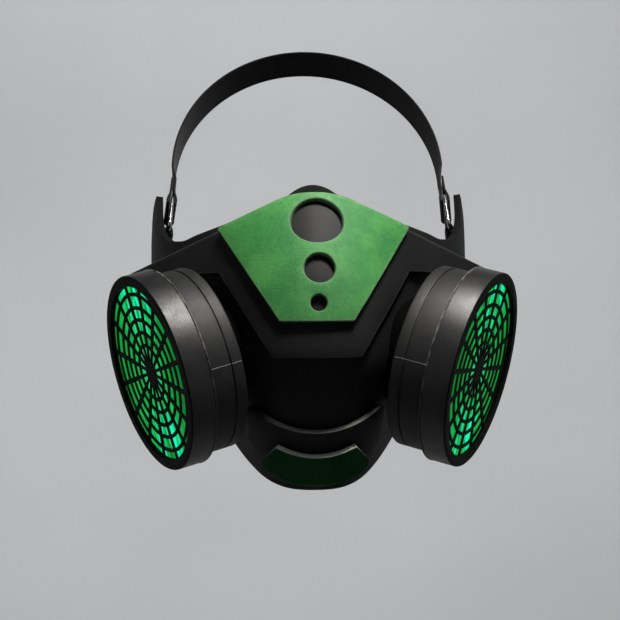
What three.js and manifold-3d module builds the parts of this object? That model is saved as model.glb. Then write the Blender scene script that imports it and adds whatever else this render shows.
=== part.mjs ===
// Half-mask respirator with two round filter canisters, built of thick leather sheets over a moulded shell.
// Millimetres. X runs to the wearer's left, Y runs into the face, Z is up. The origin is the point where the
// pad behind the top edge sits on the bridge of the nose.
import * as THREE from 'three';
import { mergeVertices } from 'three/addons/utils/BufferGeometryUtils.js';
import Module from 'manifold-3d';

const wasm = await Module();
wasm.setup();

// ---------------------------------------------------------------------------------------------------------
// Driving dimensions
// ---------------------------------------------------------------------------------------------------------
const GAP = 0.3;                 // air left between neighbouring pieces
const SHEET_GAP = 0.6;           // the same between curved sheets that lie on each other
const BASE_WALL = 3.6;           // base shell, moulded leather
const SHEET = 3;                 // shield, nose panel, chin guard and chin panel, leather
const PAD_WALL = 1.8;            // soft pad on the bridge of the nose

// Outer face of the base shell as level half sections. Each is a cubic curve from the middle of the face,
// (0, front), with handles (ridge, front) and (bendX, bendY), to the rear end (rearX, rearY).
const SECTIONS = [
  { z: 14, front: 7, ridge: 17, bendX: 88, bendY: 36, rearX: 86, rearY: 88 },
  { z: 0, front: -7, ridge: 19, bendX: 91, bendY: 30, rearX: 87.2, rearY: 88 },
  { z: -15, front: -20, ridge: 22, bendX: 92, bendY: 20, rearX: 88.6, rearY: 88 },
  { z: -40, front: -34.4, ridge: 26, bendX: 83, bendY: 8, rearX: 90.6, rearY: 88 },
  { z: -62, front: -41, ridge: 36, bendX: 62, bendY: -8, rearX: 92, rearY: 88 },
  { z: -86, front: -43, ridge: 44, bendX: 46, bendY: -14, rearX: 86, rearY: 86 },
  { z: -108, front: -35, ridge: 36, bendX: 36, bendY: -8, rearX: 68, rearY: 74 },
  { z: -132, front: -17.5, ridge: 27, bendX: 31, bendY: 3, rearX: 54, rearY: 64 },
  { z: -160, front: 4, ridge: 18, bendX: 24, bendY: 16, rearX: 42, rearY: 54 },
];

// Top line of the face, seen from the front: an arched crown, then one straight slope to the wing tip.
const CROWN = { z: 0.8, halfWidth: 20, drop: 4.1, power: 2.26 };
const TOP_SLOPE = 0.463;
const CROWN_HIDDEN = 0.6;        // base edge below the crown of the panel
const BASE_PROUD = 1.7;          // base edge above that line at the cheek
const PROUD_FROM = 40;
const PROUD_TO = 62;
const SHIELD_DROP = 1.8;         // shield edge below that line

// Rear tab of the base shell, seen from the side: the top edge turns up in an arc and leans back.
const CHEEK_EDGE_Z = -24.2;      // lowest run of the top edge, in front of the tab
const TAB_ARC_START_Y = 32;
const TAB_ARC_RADIUS = 30;
const TAB_LEAN = THREE.MathUtils.degToRad(50);   // from level
const TAB_TOP_Z = 2;
const TAB_WIDTH = 26;
const TAB_CORNER = 2.5;
const TAB_REAR_CUT = 1.5;        // the lower edge ends this far below the tab's rear corner
const EDGE_BLEND = 1;            // the two runs of the top edge melt into each other over this height
const TOP_RANGE = { low: -60, high: 12 };
const BOTTOM_RANGE = { low: -170, high: -10 };
const FRONT_SHARE = 0.66;        // share of the half section taken by the cheeks; the tab has the rest
const REAR_SHARE = 0.999;

// Lower edge of the base shell, seen from the side, from the chin to the rear edge.
const JAW_LINE = [
  { y: -6, z: -158 },
  { y: 6, z: -155 },
  { y: 20, z: -148 },
  { y: 38, z: -132 },
  { y: 56, z: -102 },
  { y: 73, z: -64 },
  { y: 78, z: -28 },
];

// Front shield, seen from the front.
const SHIELD = {
  chinHalf: 22.7, chinZ: -83.5,  // lower corners
  notchX: 50, notchZ: -41,       // inner corner of the cut-out over the canister
  tipX: 99, tipHeight: 1.6,      // wing tip
  underZ: -43.4,                 // lower edge of the wing at the tip
  flareX: 46, flareSlope: 1.0,   // the wing leaves the base shell here and runs straight out
};

// Nose panel and its three round openings, seen from the front.
const PANEL = { cornerX: 50.5, cornerHeight: 1, footHalf: 19, footZ: -65 };
const PANEL_HOLES = [
  { z: -18.2, diameter: 26.4 },
  { z: -41.7, diameter: 16 },
  { z: -57.2, diameter: 8.2 },
];
const HOLE_CUTTER = { length: 24, segments: 20 };

// Pad behind the top edge: an arched top over a straight foot.
const NOSE_PAD = { half: 15, topZ: 5.6, archHalf: 13, archDrop: 5.4, bottomZ: -16 };

// Chin guard and chin panel, seen from the front: the top edge rises as a parabola to its corners and falls
// from there to the side; the foot is rounded.
const CHIN_GUARD = {
  half: 36, cornerHalf: 36, topZ: -123.4, rise: 13.8, shoulderZ: -109.6, footZ: -154, footRise: 24,
  footPower: 2, lift: SHEET_GAP, columns: [0, 6, 12, 18, 24, 30, 36],
};
const CHIN_PANEL = {
  half: 28.4, cornerHalf: 21, topZ: -136.6, rise: 5.5, shoulderZ: -139.3, footZ: -152.8, footRise: 9.5,
  footPower: 2.6, lift: 2 * SHEET_GAP + SHEET, columns: [0, 5, 10, 15, 21, 25, 28.4],
};

// Filter canisters. Lengths run outwards from the rear face along the canister's axis.
const CANISTER = {
  x: 57.1, y: -6.6, z: -84.8,    // middle of the rear face
  yaw: THREE.MathUtils.degToRad(65.6),   // turned outwards from straight ahead
  pitch: THREE.MathUtils.degToRad(13.2), // turned down
  length: 33.2,
  bodyRadius: 48.3, groove: 6.3, grooveWidth: 0.9, grooveDepth: 0.7,
  capStart: 18.9, capRadius: 51.8, bezelRadius: 46.2, wall: 2.4,
  capRearChamfer: 1, capFrontChamfer: 0.8,
  sleeveStep: 1.2, sleeveEnd: 29.5,      // the cap sits on a sleeve a step smaller than the body
  neckRadius: 28, neckReach: 34,
};
const GRILLE = {
  recess: 1.3, thickness: 0.8, spokes: 16, spokeWidth: 2.2, ringWidth: 2, hub: 0.184,
  rings: [0.458, 0.739],   // middle of each ring bar, as a share of the lit radius
};
const DIFFUSER = { behind: 0.3, thickness: 2, radius: 44.2 };
const NECK_SEAT = { frontShare: 0.12, rearShare: 0.92, lowZ: -135, highZ: -35, depth: 40 };
const SEGMENTS = 32;
const NECK_SEGMENTS = 24;

// Strap hardware. The ring, keeper and strap lean back with the tab.
const RING = {
  offWall: 4.4,
  rise: 1,                       // top of the ring above the end of the tab
  width: 29, height: 24, wire: 2.2, corner: 4, bevel: 0.6,
  tilt: THREE.MathUtils.degToRad(6),   // top leaning in from the tab
};
const KEEPER = { width: 17, wall: 1.1, slack: 0.4, outerLeg: 13, innerLeg: 17, webAt: 1.2, web: 5 };
const STRAP = {
  width: 20, wall: 1.3, slack: 0.7,
  pinch: 0.9, pinchAt: 8, fold: 17,    // the layers close up above the ring and lie together to the end
  straight: 9, sideX: 77, headReach: 92,
};

const COLOURS = {
  black: { color: 0x1b1c1c, roughness: 0.6, metalness: 0 },
  shield: { color: 0x222423, roughness: 0.52, metalness: 0 },
  green: { color: 0x3f8a46, roughness: 0.55, metalness: 0 },
  pad: { color: 0x333434, roughness: 0.8, metalness: 0 },
  plastic: { color: 0x4b4d4a, roughness: 0.42, metalness: 0 },
  grille: { color: 0x0d0e0d, roughness: 0.5, metalness: 0 },
  glow: { color: 0x1fd060, roughness: 0.6, metalness: 0 },
  steel: { color: 0xb9bbbd, roughness: 0.25, metalness: 1 },
  leather: { color: 0x2b2a29, roughness: 0.6, metalness: 0 },
  webbing: { color: 0x151515, roughness: 0.85, metalness: 0 },
};

// ---------------------------------------------------------------------------------------------------------
// Small tools
// ---------------------------------------------------------------------------------------------------------
const clamp01 = (v) => Math.min(1, Math.max(0, v));
const lerp = THREE.MathUtils.lerp;
const range = (n) => Array.from({ length: n + 1 }, (_, i) => i / n);
const group = new THREE.Group();

function addMesh(name, geometry, colour) {
  const mesh = new THREE.Mesh(geometry, new THREE.MeshStandardMaterial(COLOURS[colour]));
  mesh.name = name;
  group.add(mesh);
  return mesh;
}

// Smooth reading of a table's column at a height or a distance, through its rows.
function readTable(rows, key, column, at) {
  const rising = rows[0][key] < rows[rows.length - 1][key];
  const list = rising ? rows : [...rows].reverse();
  let i = 0;
  while (i < list.length - 2 && at > list[i + 1][key]) i++;
  const slope = (k) => {
    const a = list[Math.max(0, k - 1)];
    const b = list[Math.min(list.length - 1, k + 1)];
    return (b[column] - a[column]) / (b[key] - a[key]);
  };
  const a = list[i];
  const b = list[i + 1];
  const h = b[key] - a[key];
  const t = (at - a[key]) / h;
  if (t < 0) return a[column] + slope(i) * t * h;
  if (t > 1) return b[column] + slope(i + 1) * (t - 1) * h;
  const t2 = t * t;
  const t3 = t2 * t;
  return (2 * t3 - 3 * t2 + 1) * a[column] + (t3 - 2 * t2 + t) * h * slope(i)
    + (3 * t2 - 2 * t3) * b[column] + (t3 - t2) * h * slope(i + 1);
}

function bisect(f, low, high) {
  for (let k = 0; k < 40; k++) {
    const middle = (low + high) / 2;
    if (f(middle) > 0) high = middle;
    else low = middle;
  }
  return (low + high) / 2;
}

// A closed slab between an outer and an inner face, each a function of two shares from 0 to 1. The first
// share runs towards +X and the second upwards, so the outer face looks forwards.
function slab(outer, inner, us, vs) {
  const columns = us.length;
  const positions = [];
  for (const face of [outer, inner]) {
    for (const v of vs) for (const u of us) positions.push(...face(u, v).toArray());
  }
  const at = (side, i, j) => side * columns * vs.length + j * columns + i;
  const index = [];
  const quad = (a, b, c, d) => index.push(a, b, c, a, c, d);
  for (let j = 0; j < vs.length - 1; j++) {
    for (let i = 0; i < columns - 1; i++) {
      quad(at(0, i, j), at(0, i + 1, j), at(0, i + 1, j + 1), at(0, i, j + 1));
      quad(at(1, i, j), at(1, i, j + 1), at(1, i + 1, j + 1), at(1, i + 1, j));
    }
  }
  const top = vs.length - 1;
  const right = columns - 1;
  for (let i = 0; i < right; i++) {
    quad(at(0, i, 0), at(1, i, 0), at(1, i + 1, 0), at(0, i + 1, 0));
    quad(at(0, i, top), at(0, i + 1, top), at(1, i + 1, top), at(1, i, top));
  }
  for (let j = 0; j < top; j++) {
    quad(at(0, 0, j), at(0, 0, j + 1), at(1, 0, j + 1), at(1, 0, j));
    quad(at(0, right, j), at(1, right, j), at(1, right, j + 1), at(0, right, j + 1));
  }
  const geometry = new THREE.BufferGeometry();
  geometry.setAttribute('position', new THREE.Float32BufferAttribute(positions, 3));
  geometry.setIndex(index);
  return geometry;
}

function toManifold(geometry) {
  const bare = geometry.clone();
  bare.deleteAttribute('normal');
  bare.deleteAttribute('uv');
  const merged = mergeVertices(bare, 1e-4);
  return new wasm.Manifold(new wasm.Mesh({
    numProp: 3,
    vertProperties: new Float32Array(merged.attributes.position.array),
    triVerts: new Uint32Array(merged.index.array),
  }));
}

function fromManifold(solid) {
  const mesh = solid.getMesh();
  const geometry = new THREE.BufferGeometry();
  geometry.setAttribute('position', new THREE.BufferAttribute(new Float32Array(mesh.vertProperties), 3));
  geometry.setIndex(new THREE.BufferAttribute(new Uint32Array(mesh.triVerts), 1));
  return geometry;
}

// ---------------------------------------------------------------------------------------------------------
// Base surface: the outer face of the base shell
// ---------------------------------------------------------------------------------------------------------
// share runs from -1 at one rear end, through 0 at the middle of the face, to 1 at the other.
function basePoint(share, z) {
  const t = Math.abs(share);
  const row = (column) => readTable(SECTIONS, 'z', column, z);
  const front = row('front');
  const a = 3 * (1 - t) ** 2 * t;
  const b = 3 * (1 - t) * t * t;
  const c = t ** 3;
  const x = a * row('ridge') + b * row('bendX') + c * row('rearX');
  const y = ((1 - t) ** 3 + a) * front + b * row('bendY') + c * row('rearY');
  return new THREE.Vector3(Math.sign(share) * x, y, z);
}

function shareAt(x, z) {
  return Math.sign(x) * bisect((t) => basePoint(t, z).x - Math.abs(x), 0, 1);
}

const baseY = (x, z) => basePoint(shareAt(x, z), z).y;

// A face moved out of a surface along its normal. surface(u, z) gives a point for a place across and a level.
function lifted(surface, lift) {
  const step = 0.01;
  return (u, z) => {
    const across = surface(u + step, z).sub(surface(u - step, z));
    const up = surface(u, z + step).sub(surface(u, z - step));
    return surface(u, z).addScaledVector(across.cross(up).normalize(), lift);
  };
}

// ---------------------------------------------------------------------------------------------------------
// Outlines
// ---------------------------------------------------------------------------------------------------------
function topLine(x) {
  const across = Math.abs(x);
  if (across < CROWN.halfWidth) return CROWN.z - CROWN.drop * (across / CROWN.halfWidth) ** CROWN.power;
  return CROWN.z - CROWN.drop - TOP_SLOPE * (across - CROWN.halfWidth);
}

const softMin = (a, b, r) => {
  const h = clamp01(0.5 + (b - a) / (2 * r));
  return lerp(b, a, h) - r * h * (1 - h);
};
const softMax = (a, b, r) => -softMin(-a, -b, r);

const tabSlope = Math.tan(TAB_LEAN);
const tabArcEndY = TAB_ARC_START_Y + TAB_ARC_RADIUS * Math.sin(TAB_LEAN);
const tabArcEndZ = CHEEK_EDGE_Z + TAB_ARC_RADIUS * (1 - Math.cos(TAB_LEAN));
const tabFrontY = tabArcEndY + (TAB_TOP_Z - tabArcEndZ) / tabSlope;
const tabRearY = tabFrontY + TAB_WIDTH * Math.sin(TAB_LEAN);
const tabRearZ = TAB_TOP_Z - TAB_WIDTH * Math.cos(TAB_LEAN);

function tabTop(y) {
  let rise = CHEEK_EDGE_Z;
  if (y > tabArcEndY) rise = tabArcEndZ + tabSlope * (y - tabArcEndY);
  else if (y > TAB_ARC_START_Y) {
    const turn = Math.asin((y - TAB_ARC_START_Y) / TAB_ARC_RADIUS);
    rise += TAB_ARC_RADIUS * (1 - Math.cos(turn));
  }
  const end = TAB_TOP_Z - (y - tabFrontY) / tabSlope;
  return softMin(rise, end, TAB_CORNER);
}

function baseTop(share) {
  const cheek = (x) => clamp01((Math.abs(x) - PROUD_FROM) / (PROUD_TO - PROUD_FROM));
  const proud = (x) => lerp(-CROWN_HIDDEN, BASE_PROUD, cheek(x));
  const edge = (point) => softMax(topLine(point.x) + proud(point.x), tabTop(point.y), EDGE_BLEND);
  return bisect((z) => z - edge(basePoint(share, z)), TOP_RANGE.low, TOP_RANGE.high);
}

function jawLine(y) {
  const rear = JAW_LINE[JAW_LINE.length - 1];
  if (y <= rear.y) return readTable(JAW_LINE, 'y', 'z', y);
  return rear.z + (y - rear.y) * (tabRearZ - TAB_REAR_CUT - rear.z) / (tabRearY - rear.y);
}

function baseBottom(share) {
  return bisect((z) => z - jawLine(basePoint(share, z).y), BOTTOM_RANGE.low, BOTTOM_RANGE.high);
}

// ---------------------------------------------------------------------------------------------------------
// Base shell and the sheets on it
// ---------------------------------------------------------------------------------------------------------
function makeBaseShell() {
  const front = range(11).map((k) => k * FRONT_SHARE);
  const tab = range(12).slice(1).map((k) => lerp(FRONT_SHARE, REAR_SHARE, k));
  const half = [...front, ...tab];
  const shares = [...half.slice(1).reverse().map((s) => -s), ...half];
  const edges = new Map(shares.map((s) => [s, { top: baseTop(s), bottom: baseBottom(s) }]));
  const height = (s, v) => lerp(edges.get(s).bottom, edges.get(s).top, v);
  const inside = lifted(basePoint, -BASE_WALL);
  const outer = (s, v) => basePoint(s, height(s, v));
  const inner = (s, v) => inside(s, height(s, v));
  return slab(outer, inner, shares, range(12));
}

const onBase = (x, z) => new THREE.Vector3(x, baseY(x, z), z);

// The shield follows the base as far as the cheeks, then its wings run straight out.
function onShield(x, z) {
  const across = Math.abs(x);
  const flare = Math.max(0, across - SHIELD.flareX);
  return new THREE.Vector3(x, baseY(Math.min(across, SHIELD.flareX), z) + SHIELD.flareSlope * flare, z);
}

// The foot on a surface whose lifted point is seen from the front at a given place.
function footOf(face, x, z) {
  let u = x;
  let w = z;
  for (let k = 0; k < 6; k++) {
    const point = face(u, w);
    u += x - point.x;
    w += z - point.z;
  }
  return [u, w];
}

// A sheet laid on a surface. Its outline, as the front view shows it, lies between two edges that are
// functions of the place across, and its cut edges stand square to the surface.
function makeSheet(surface, lift, wall, xs, bottom, top, rows) {
  const under = lifted(surface, lift);
  const over = lifted(surface, lift + wall);
  const feet = new Map();
  const foot = (x, v) => {
    const key = `${x} ${v}`;
    if (!feet.has(key)) feet.set(key, footOf(over, x, lerp(bottom(x), top(x), v)));
    return feet.get(key);
  };
  return slab((x, v) => over(...foot(x, v)), (x, v) => under(...foot(x, v)), xs, range(rows));
}

const mirrored = (half) => [...half.slice(1).reverse().map((x) => -x), ...half];

function shieldBottom(x) {
  const across = Math.abs(x);
  if (across <= SHIELD.chinHalf) return SHIELD.chinZ;
  if (across <= SHIELD.notchX) {
    return lerp(SHIELD.chinZ, SHIELD.notchZ, (across - SHIELD.chinHalf) / (SHIELD.notchX - SHIELD.chinHalf));
  }
  return lerp(SHIELD.notchZ, SHIELD.underZ, (across - SHIELD.notchX) / (SHIELD.tipX - SHIELD.notchX));
}

const shieldTop = (x) => Math.max(topLine(x) - SHIELD_DROP, shieldBottom(x) + SHIELD.tipHeight);

function makeShield() {
  const xs = mirrored([0, 4.5, 9, 13.5, 18, SHIELD.chinHalf, 28, 33, 38, 42, SHIELD.flareX, SHIELD.notchX,
    60, 72, 85, SHIELD.tipX]);
  return makeSheet(onShield, SHEET_GAP, SHEET, xs, shieldBottom, shieldTop, 6);
}

function panelBottom(x) {
  const along = clamp01((Math.abs(x) - PANEL.footHalf) / (PANEL.cornerX - PANEL.footHalf));
  return lerp(PANEL.footZ, topLine(PANEL.cornerX) - PANEL.cornerHeight, along);
}

function makeNosePanel() {
  const xs = mirrored([0, 5, 10, 15, PANEL.footHalf, 25, 31, 37, 42, 46, PANEL.cornerX]);
  const lift = 2 * SHEET_GAP + SHEET;
  let panel = toManifold(makeSheet(onShield, lift, SHEET, xs, panelBottom, topLine, 6));
  const outwards = lifted(onShield, 1);
  for (const hole of PANEL_HOLES) {
    const foot = onShield(0, hole.z);
    const axis = outwards(0, hole.z).sub(foot).normalize();
    const radius = hole.diameter / 2;
    const cutter = new THREE.CylinderGeometry(radius, radius, HOLE_CUTTER.length, HOLE_CUTTER.segments);
    cutter.applyQuaternion(new THREE.Quaternion().setFromUnitVectors(new THREE.Vector3(0, 1, 0), axis));
    cutter.translate(...foot.addScaledVector(axis, lift).toArray());
    panel = panel.subtract(toManifold(cutter));
  }
  return fromManifold(panel);
}

function makeChinSheet(sheet) {
  const top = (x) => {
    const across = Math.abs(x);
    if (across <= sheet.cornerHalf) return sheet.topZ + sheet.rise * (across / sheet.cornerHalf) ** 2;
    const along = (across - sheet.cornerHalf) / (sheet.half - sheet.cornerHalf);
    return lerp(sheet.topZ + sheet.rise, sheet.shoulderZ, along);
  };
  const bottom = (x) => sheet.footZ + sheet.footRise * (Math.abs(x) / sheet.half) ** sheet.footPower;
  return makeSheet(onBase, sheet.lift, SHEET, mirrored(sheet.columns), bottom, top, 4);
}

function makeNosePad() {
  const pad = NOSE_PAD;
  const top = (x) => pad.topZ - pad.archDrop * (Math.abs(x) / pad.archHalf) ** 2;
  const xs = range(8).map((k) => pad.half * (2 * k - 1));
  return makeSheet(onBase, -BASE_WALL - SHEET_GAP - PAD_WALL, PAD_WALL, xs, () => pad.bottomZ, top, 4);
}

// ---------------------------------------------------------------------------------------------------------
// Filter canisters, each made about its own axis (+Z, outwards) from its rear face
// ---------------------------------------------------------------------------------------------------------
function turned(profile) {
  const geometry = new THREE.LatheGeometry(profile.map(([r, z]) => new THREE.Vector2(r, z)), SEGMENTS);
  return geometry.rotateX(Math.PI / 2);
}

function makeFilterBody() {
  const c = CANISTER;
  const sleeve = c.bodyRadius - c.sleeveStep;
  const bore = sleeve - c.wall;
  return turned([
    [0, 0], [c.bodyRadius, 0], [c.bodyRadius, c.groove], [c.bodyRadius - c.grooveDepth, c.groove],
    [c.bodyRadius - c.grooveDepth, c.groove + c.grooveWidth], [c.bodyRadius, c.groove + c.grooveWidth],
    [c.bodyRadius, c.capStart - GAP], [sleeve, c.capStart - GAP], [sleeve, c.sleeveEnd], [bore, c.sleeveEnd],
    [bore, c.wall], [0, c.wall],
  ]);
}

function makeFilterCap() {
  const c = CANISTER;
  const bore = c.bodyRadius - c.sleeveStep + GAP;
  const lip = c.length - GRILLE.recess;
  return turned([
    [bore, c.capStart], [c.capRadius - c.capRearChamfer, c.capStart],
    [c.capRadius, c.capStart + c.capRearChamfer], [c.capRadius, c.length - c.capFrontChamfer],
    [c.capRadius - c.capFrontChamfer, c.length], [c.bezelRadius, c.length],
    [c.bezelRadius, lip], [bore, lip], [bore, c.capStart],
  ]);
}

const polar = (r, a) => new THREE.Vector2(r * Math.cos(a), r * Math.sin(a));

function makeGrille() {
  const outer = CANISTER.bodyRadius - CANISTER.sleeveStep;
  const disc = new THREE.Shape(range(SEGMENTS).slice(1).map((k) => polar(outer, k * 2 * Math.PI)));
  const bars = [GRILLE.hub, ...GRILLE.rings, 1].map((share) => share * CANISTER.bezelRadius);
  const pitch = 2 * Math.PI / GRILLE.spokes;
  const half = GRILLE.ringWidth / 2;
  for (let k = 0; k < GRILLE.spokes; k++) {
    for (let row = 0; row < bars.length - 1; row++) {
      const inner = bars[row] + (row === 0 ? 0 : half);
      disc.holes.push(sector(k * pitch, pitch, inner, bars[row + 1] - half));
    }
  }
  const depth = GRILLE.thickness;
  const geometry = new THREE.ExtrudeGeometry(disc, { depth, bevelEnabled: false, curveSegments: 1 });
  return geometry.translate(0, 0, CANISTER.length - GRILLE.recess - GAP - depth);
}

// One opening between two spokes.
function sector(start, pitch, inner, rim) {
  const corner = (r, k) => {
    const inset = Math.asin(GRILLE.spokeWidth / 2 / r);
    return polar(r, lerp(start + inset, start + pitch - inset, k));
  };
  const rimSteps = rim > CANISTER.bezelRadius / 2 ? [0, 0.5, 1] : [0, 1];
  return new THREE.Path([...rimSteps.map((k) => corner(rim, k)), corner(inner, 1), corner(inner, 0)]);
}

function makeDiffuser() {
  const front = CANISTER.length - GRILLE.recess - GAP - GRILLE.thickness - DIFFUSER.behind;
  const disc = new THREE.CylinderGeometry(DIFFUSER.radius, DIFFUSER.radius, DIFFUSER.thickness, SEGMENTS);
  return disc.rotateX(Math.PI / 2).translate(0, 0, front - DIFFUSER.thickness / 2);
}

// The neck runs from the canister's rear face down to the base shell, and ends on its curved side.
function makeNeck(matrix) {
  const { neckRadius, neckReach } = CANISTER;
  const neck = new THREE.CylinderGeometry(neckRadius, neckRadius, neckReach, NECK_SEGMENTS);
  neck.rotateX(Math.PI / 2).translate(0, 0, -neckReach / 2 - GAP).applyMatrix4(matrix);
  const shares = range(10).map((k) => lerp(NECK_SEAT.frontShare, NECK_SEAT.rearShare, k));
  const levels = range(8).map((k) => lerp(NECK_SEAT.lowZ, NECK_SEAT.highZ, k));
  const face = lifted(basePoint, SHEET_GAP);
  const cutter = slab(face, lifted(basePoint, -NECK_SEAT.depth), shares, levels);
  return fromManifold(toManifold(neck).subtract(toManifold(cutter)));
}

function canisterMatrix() {
  const outwards = new THREE.Vector3(Math.sin(CANISTER.yaw) * Math.cos(CANISTER.pitch),
    -Math.cos(CANISTER.yaw) * Math.cos(CANISTER.pitch), -Math.sin(CANISTER.pitch));
  const across = new THREE.Vector3(0, 0, 1).cross(outwards).normalize();
  const up = outwards.clone().cross(across);
  const matrix = new THREE.Matrix4().makeBasis(across, up, outwards);
  return matrix.setPosition(CANISTER.x, CANISTER.y, CANISTER.z);
}

// ---------------------------------------------------------------------------------------------------------
// Strap hardware, made in the tab's own frame: X outwards, Y across the strap, Z along it, upwards
// ---------------------------------------------------------------------------------------------------------
function roundedRectangle(width, height, radius, ShapeClass) {
  const shape = new ShapeClass();
  const x = width / 2 - radius;
  const y = height / 2 - radius;
  shape.absarc(x, y, radius, 0, Math.PI / 2, false);
  shape.absarc(-x, y, radius, Math.PI / 2, Math.PI, false);
  shape.absarc(-x, -y, radius, Math.PI, 1.5 * Math.PI, false);
  shape.absarc(x, -y, radius, 1.5 * Math.PI, 2 * Math.PI, false);
  shape.closePath();
  return shape;
}

const flipX = (geometry) => {
  const flipped = geometry.clone();
  flipped.applyMatrix4(new THREE.Matrix4().makeScale(-1, 1, 1));
  const index = flipped.index ? Array.from(flipped.index.array)
    : Array.from({ length: flipped.attributes.position.count }, (_, i) => i);
  for (let i = 0; i < index.length; i += 3) [index[i + 1], index[i + 2]] = [index[i + 2], index[i + 1]];
  flipped.setIndex(index);
  return flipped;
};

function makeRing() {
  const { width, height, wire, corner, bevel } = RING;
  const outline = roundedRectangle(width - 2 * bevel, height - 2 * bevel, corner, THREE.Shape);
  const lessBars = 2 * (wire - bevel);
  const insideCorner = corner - wire + 2 * bevel;
  outline.holes.push(roundedRectangle(width - lessBars, height - lessBars, insideCorner, THREE.Path));
  const ring = new THREE.ExtrudeGeometry(outline, {
    depth: wire - 2 * bevel, bevelThickness: bevel, bevelSize: bevel, bevelSegments: 1, curveSegments: 2,
  });
  ring.translate(0, 0, -wire / 2 + bevel);
  // the ring's width runs across the strap (Y) and its height along it (Z)
  return ring.applyMatrix4(new THREE.Matrix4().makeBasis(
    new THREE.Vector3(0, 1, 0), new THREE.Vector3(0, 0, 1), new THREE.Vector3(1, 0, 0)));
}

// The keeper is a strip folded under the ring's lower bar and sewn through the ring.
function makeKeeper() {
  const k = KEEPER;
  const bar = -(RING.height - RING.wire) / 2;
  const halfGap = RING.wire / 2 + k.slack;
  const bend = (radius, from, to, steps) => range(steps).map((s) => {
    const a = lerp(from, to, s);
    return [radius * Math.cos(a), bar + radius * Math.sin(a)];
  });
  const web = bar + RING.wire / 2 + k.webAt;
  const outline = [
    [halfGap + k.wall, bar + k.outerLeg],
    [halfGap, bar + k.outerLeg],
    [halfGap, web + k.web],
    [-halfGap, web + k.web],
    [-halfGap, bar + k.innerLeg],
    [-halfGap - k.wall, bar + k.innerLeg],
    ...bend(halfGap + k.wall, -Math.PI, 0, 6),
  ];
  const hole = [[halfGap, web], ...bend(halfGap, 0, -Math.PI, 5), [-halfGap, web]];
  const shape = new THREE.Shape(outline.map(([x, z]) => new THREE.Vector2(x, z)));
  shape.holes.push(new THREE.Path(hole.map(([x, z]) => new THREE.Vector2(x, z))));
  const geometry = new THREE.ExtrudeGeometry(shape, { depth: k.width, bevelEnabled: false });
  return geometry.applyMatrix4(new THREE.Matrix4().makeBasis(
    new THREE.Vector3(1, 0, 0), new THREE.Vector3(0, 0, 1), new THREE.Vector3(0, -1, 0)))
    .translate(0, k.width / 2, 0);
}

// The ring's frame stands on the inner face of the base shell, in the middle of the tab's width.
const ringDown = RING.height / 2 - RING.rise;
const footY = (tabFrontY + tabRearY) / 2 - ringDown * Math.cos(TAB_LEAN);
const footZ = (TAB_TOP_Z + tabRearZ) / 2 - ringDown * Math.sin(TAB_LEAN);
const footShare = bisect((t) => basePoint(t, footZ).y - footY, 0.5, 1);
const wallInside = lifted(basePoint, -BASE_WALL)(footShare, footZ);
const outwards = basePoint(footShare, footZ).sub(wallInside).normalize();
const upStrap = new THREE.Vector3(0, Math.cos(TAB_LEAN), Math.sin(TAB_LEAN));
upStrap.addScaledVector(outwards, -upStrap.dot(outwards)).normalize();
const acrossStrap = upStrap.clone().cross(outwards);
const halfRing = (RING.height - RING.wire) / 2;
const lowerBar = wallInside.clone().addScaledVector(outwards, -RING.offWall)
  .addScaledVector(upStrap, -halfRing);
const ringUp = upStrap.clone().applyAxisAngle(acrossStrap, -RING.tilt);
const ringOut = outwards.clone().applyAxisAngle(acrossStrap, -RING.tilt);
const ringCentre = lowerBar.clone().addScaledVector(ringUp, halfRing);
const tabMatrix = new THREE.Matrix4().makeBasis(ringOut, acrossStrap, ringUp).setPosition(ringCentre);

// A flat band swept through places, each with its middle, its half width and its half thickness as vectors.
function sweepBand(places) {
  const positions = [];
  for (const { middle, side, face } of places) {
    for (const [a, b] of [[-1, -1], [1, -1], [1, 1], [-1, 1]]) {
      positions.push(...middle.clone().addScaledVector(side, a).addScaledVector(face, b).toArray());
    }
  }
  const index = [];
  const quad = (a, b, c, d) => index.push(a, b, c, a, c, d);
  for (let i = 0; i < places.length - 1; i++) {
    for (let k = 0; k < 4; k++) {
      const next = (k + 1) % 4;
      quad(4 * i + k, 4 * i + next, 4 * i + 4 + next, 4 * i + 4 + k);
    }
  }
  const last = 4 * (places.length - 1);
  quad(0, 3, 2, 1);
  quad(last, last + 1, last + 2, last + 3);
  const geometry = new THREE.BufferGeometry();
  geometry.setAttribute('position', new THREE.Float32BufferAttribute(positions, 3));
  geometry.setIndex(index);
  return geometry;
}

// The strap's end is folded round the ring's upper bar; the rest lies in one plane that leans back with the
// tabs and passes round the head. Each place on it: the middle and the direction across the strap.
function strapHalf() {
  const bar = halfRing;
  const turn = RING.wire / 2 + STRAP.slack + STRAP.wall / 2;
  const places = [];
  const atRing = (x, up) => places.push({
    middle: new THREE.Vector3(x, 0, up).applyMatrix4(tabMatrix), across: acrossStrap,
  });
  atRing(STRAP.pinch, bar + STRAP.fold);
  atRing(STRAP.pinch, bar + STRAP.pinchAt);
  for (const k of range(6)) atRing(turn * Math.cos(k * Math.PI), bar - turn * Math.sin(k * Math.PI));
  atRing(-STRAP.pinch, bar + STRAP.pinchAt);
  atRing(-STRAP.pinch, bar + STRAP.fold);

  const level = new THREE.Vector3(0, Math.sin(TAB_LEAN), -Math.cos(TAB_LEAN));
  const up = new THREE.Vector3(0, Math.cos(TAB_LEAN), Math.sin(TAB_LEAN));
  const start = places[places.length - 1].middle;
  const plane = start.clone().setX(0);
  for (const k of range(14)) {
    const a = k * Math.PI / 2;
    const middle = plane.clone().addScaledVector(up, STRAP.straight + STRAP.headReach * Math.sin(a));
    places.push({ middle: middle.setX(STRAP.sideX * Math.cos(a)), across: level });
  }
  return places;
}

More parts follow.
